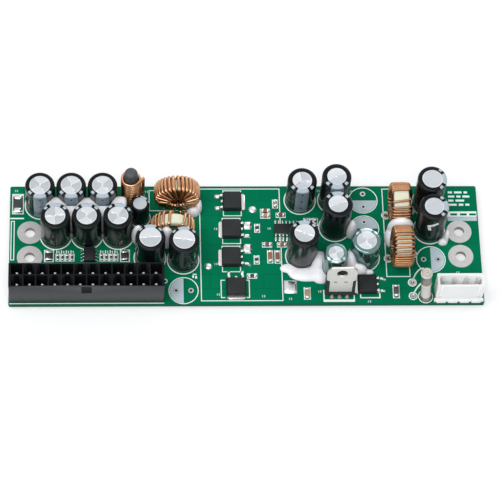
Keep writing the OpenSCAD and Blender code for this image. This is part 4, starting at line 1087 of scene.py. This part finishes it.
# Plugs: the same, with flat tops, in the gaps between the two rows of cans at the left end
PLUGS = [
    ((-64.2, 10.6, 4.0), (3.6, 3.0, 6.3)), ((-53.7, 10.4, 4.0), (3.6, 3.0, 6.3)),
    ((-43.0, 10.8, 4.0), (2.8, 3.0, 6.3)), ((-59.0, 7.6, 4.0), (3.4, 2.6, 6.3)),
    ((-48.5, 7.6, 4.0), (3.4, 2.6, 6.3)),
]
paste = bmesh.new()
for shapes, squareness in ((DABS, 2), (PLUGS, 6)):
    for place, half_widths in shapes:
        ball = bmesh.ops.create_icosphere(paste, subdivisions=4, radius=1.0)["verts"]
        for vert in ball:
            vert.co /= sum(abs(c) ** squareness for c in vert.co) ** (1 / squareness)
        bmesh.ops.scale(paste, verts=ball, vec=Vector(half_widths) * MM)
        bmesh.ops.translate(paste, verts=ball, vec=Vector(place) * MM + Vector((0, 0, TOP)))
beads = settle(paste, "silicone_beads", [white_silicone], ["glue_beads"])
print("dabs and plugs:", len(DABS) + len(PLUGS))

# %% Silicone beads: melting
VOXEL, SMOOTHING = 0.3 * MM, 6
CAN_GAP, BOARD_GAP = 0.03 * MM, 0.01 * MM
melt = beads.modifiers.new("melt", "REMESH")
melt.mode = "VOXEL"
melt.voxel_size = VOXEL
melted = bpy.data.meshes.new_from_object(beads.evaluated_get(bpy.context.evaluated_depsgraph_get()))
beads.modifiers.clear()
skin = bmesh.new()
skin.from_mesh(melted)
bpy.data.meshes.remove(melted)
ALL_WAYS = {"use_axis_x": True, "use_axis_y": True, "use_axis_z": True}
for _ in range(SMOOTHING):
    bmesh.ops.smooth_vert(skin, verts=skin.verts, factor=0.5, **ALL_WAYS)
posts = [can_place(number) for number in CANS]
for vert in skin.verts:
    for middle, radius, _ in posts:
        gap = vert.co.xy - middle.xy
        if gap.length < radius + CAN_GAP:
            vert.co.xy = middle.xy + gap.normalized() * (radius + CAN_GAP)
    vert.co.z = max(vert.co.z, TOP + BOARD_GAP)
skin.to_mesh(beads.data)
skin.free()
beads.data.shade_smooth()
print("silicone:", len(beads.data.polygons), "faces")

# %% [markdown]
# ## Screen print
# White ink on the board marks where parts go: rings round the capacitors, half-filled discs at the
# empty places, frames round chips and transistors, and long boxes. Plain bars and strokes stand where
# a board has its numbers. Each mark is the space between closed loops of points, filled with
# triangles, so a ring is two circles and a pad leaves a hole. All get the ink's thickness at the end.

# %% Screen print: the marks
INK = 0.02 * MM


def box(x0, y0, x1, y1):
    """The corners of a rectangle in mm."""
    return [(x0, y0), (x1, y0), (x1, y1), (x0, y1)]


def circle(x, y, radius, start=0, sweep=360, steps=56):
    """Points on a circle or an arc in mm."""
    angles = [math.radians(start + sweep * k / steps) for k in range(steps + (sweep < 360))]
    return [(x + radius * math.cos(a), y + radius * math.sin(a)) for a in angles]


def printed(bm, *loops, tone=0):
    """Fills the space between closed loops of points with ink."""
    edges = []
    for points in loops:
        verts = [bm.verts.new((x * MM, y * MM, TOP)) for x, y in points]
        edges += [bm.edges.new(pair) for pair in zip(verts, verts[1:] + verts[:1])]
    made = bmesh.ops.triangle_fill(bm, use_beauty=True, use_dissolve=False, edges=edges, normal=(0, 0, 1))
    for face in set(made["geom"]) & set(bm.faces):
        face.material_index = tone


def ringed(bm, x, y, inner, outer):
    """A ring between two radii in mm."""
    printed(bm, circle(x, y, outer), circle(x, y, inner))


def framed(bm, x0, y0, x1, y1, width=0.3):
    """A rectangle's outline in mm."""
    printed(bm, box(x0, y0, x1, y1), box(x0 + width, y0 + width, x1 - width, y1 - width))


print("ink is", INK / MM, "mm thick")

# %% Screen print: rings
ink = bmesh.new()
for number in CANS:
    middle, radius, _ = can_place(number)
    ringed(ink, middle.x / MM, middle.y / MM, radius / MM + 0.17, radius / MM + 0.55)
# Empty places: middle in mm and the side that is filled, where one lead hole stays clear
DISC, HOLE_OUT, HOLE_CLEAR = 4.6, 2.5, 1.0
for x, y, side in ((-21.4, -17.4, 180), (40.72, 16.9, -90), (40.72, 6.0, 90), (62.8, -5.9, 0)):
    ringed(ink, x, y, 4.75, 5.05)
    away = math.radians(side)
    hole = circle(x + HOLE_OUT * math.cos(away), y + HOLE_OUT * math.sin(away), HOLE_CLEAR, steps=24)
    printed(ink, circle(x, y, DISC, side - 90, 180), hole, tone=1)
# Plain rings: middle, inner and outer radius in mm
HOLES = [(48.24, 11.07), (56.77, 12.71), (48.24, -5.51), (56.77, -3.87)] + [pad for pad, _ in FUSE_LEADS]
RINGS = [(*hole, 1.2, 1.5) for hole in HOLES] + [(FUSE_X, FUSE_Y, 2.25, 2.55), (-27.6, -13.8, 0.5, 0.9)]
for ring in RINGS:
    ringed(ink, *ring)
print("rings:", len(ink.faces), "faces")

# %% Screen print: frames and bars
# Frames: two corners in mm
FRAMES = [
    (-15.6, -21.4, 12.1, 21.6), (47.3, -12.5, 55.5, 21.5), (-32.8, 12.9, -15.7, 21.0),
    (-79.6, -5.8, -78.3, 9.2),
]
for low, high in transistors:
    if low.x < 10 and low.y > -10:
        FRAMES.append((low.x, low.y - 1.9, high.x, high.y + 1.5))
for corner_pair in FRAMES:
    framed(ink, *corner_pair)
# Solid bars: two corners in mm
BARS = [
    (25.6, -21.8, 36.2, -20.9), (25.6, -20.9, 26.0, -17.3), (35.8, -20.9, 36.2, -19.3),
    (38.0, -20.5, 44.9, -20.1), (38.0, -20.1, 38.4, -18.6), (44.5, -20.1, 44.9, -18.6),
    (37.0, -18.9, 37.4, -12.4), (-79.8, 9.9, -75.2, 10.4), (-79.6, -22.2, -28.0, -21.9),
    (-8.9, -20.2, -8.6, -13.4), (-8.6, -13.7, -7.4, -13.4), (-8.6, -20.2, -7.4, -19.9),
    (0.6, -20.2, 0.9, -13.4), (-0.2, -13.7, 0.6, -13.4), (-0.2, -20.2, 0.6, -19.9),
]
# Four rows of bars in the back corner at the right: lengths in mm
for row, lengths in enumerate(((1.5, 2.6, 1.2), (2.2, 1.4, 2.4), (1.8, 3.0), (2.8, 1.6, 1.4))):
    start = 70.2
    for length in lengths:
        BARS.append((start, 19.6 - 1.6 * row, start + length, 20.4 - 1.6 * row))
        start += length + 0.7
# Short strokes beside the parts, where their numbers would stand
TICKS = [
    (-78.4, 20.8), (-10.6, 6.0), (-10.8, -7.4), (-10.2, -18.9), (7.6, 6.1), (24.0, -17.9), (40.6, -21.7),
    (71.2, -10.9), (57.5, 18.0), (-34.0, 20.4), (25.0, 20.6), (36.0, 20.4), (5.0, -19.6), (14.0, -20.6),
]
for x, y in TICKS:
    printed(ink, box(x, y - 0.4, x + 0.25, y + 0.4), tone=1)
    printed(ink, box(x + 0.6, y - 0.4, x + 1.0, y + 0.4), tone=1)
# Short upright strokes behind the row of chips at the black header
for x in (-63.6, -62.0, -60.4, -58.8, -48.8, -47.2, -45.6, -44.0):
    BARS += [(x - 0.55, -3.1, x - 0.2, -2.1), (x + 0.2, -3.0, x + 0.5, -2.3)]
# Small marks in front of the can at the middle of the board
BARS += [(-18.4, -12.6, -17.8, -11.7), (-17.4, -12.9, -16.8, -11.9), (-18.2, -11.5, -16.9, -11.1)]
for corner_pair in BARS:
    printed(ink, box(*corner_pair))
# A filled box with three clear slots, and a hatched one in front of it
slots = [box(x, 11.0, x + 2.3, 11.8) for x in (70.6, 73.9, 77.1)]
printed(ink, box(69.5, 10.5, 79.6, 12.6), *slots)
printed(ink, box(69.5, 8.9, 79.6, 10.4), tone=1)
print("frames:", len(FRAMES), "bars:", len(BARS))

# %% Screen print: round the chips
terminals = solid_boxes("chip_terminals", MM)
for low, high in chip_boxes:
    ends = []
    for pair in terminals:
        middle = (pair[0] + pair[1]) / 2
        if all(low[i] - 0.5 < middle[i] < high[i] + 0.5 for i in (0, 1)):
            ends += pair
    first, last = corners(ends)
    room = (0.35, 0.7) if last.y > high.y + 0.1 else (0.7, 0.35)
    framed(ink, first.x - room[0], first.y - room[1], last.x + room[0], last.y + room[1], 0.28)
for face in ink.faces:
    if face.normal.z < 0:
        face.normal_flip()
bmesh.ops.solidify(ink, geom=ink.faces[:], thickness=-INK)
settle(ink, "screen_print", [screen_ink, hatch_ink])
print("screen print done")

# %% [markdown]
# ## Paint mark
# One can near the right end carries a tick of white paint on its wall, from a test bench. Each stroke
# is a strip of narrow faces that follows the can's round wall.

# %% Paint mark
# Stroke: its start, its end and its width in mm; a point is the distance round the wall from the
# can's front, and the height above the board
STROKES = [((-1.6, 11.9), (-0.95, 9.1), 1.1), ((-1.9, 11.6), (1.4, 13.9), 1.25)]
ROWS, SIDES = 8, (-1, -0.6, -0.2, 0.2, 0.6, 1)
middle, wall, _ = can_place(17)
paint = bmesh.new()
for start, end, width in STROKES:
    start, end = Vector(start), Vector(end)
    across = (end - start).normalized().orthogonal() * width / 2
    rows = []
    for k in range(ROWS + 1):
        point = start.lerp(end, k / ROWS)
        rows.append([])
        for side in SIDES:
            u, v = point + side * across
            angle = u * MM / wall - math.pi / 2
            reach = Vector((math.cos(angle), math.sin(angle), 0)) * (wall + 0.03 * MM)
            rows[-1].append(paint.verts.new(reach + Vector((middle.x, middle.y, TOP + v * MM))))
    for a, b in zip(rows, rows[1:]):
        for left in range(len(a) - 1):
            paint.faces.new((a[left], a[left + 1], b[left + 1], b[left]))
bmesh.ops.recalc_face_normals(paint, faces=paint.faces)
settle(paint, "paint_tick", [screen_ink])
print("paint strokes:", len(STROKES))
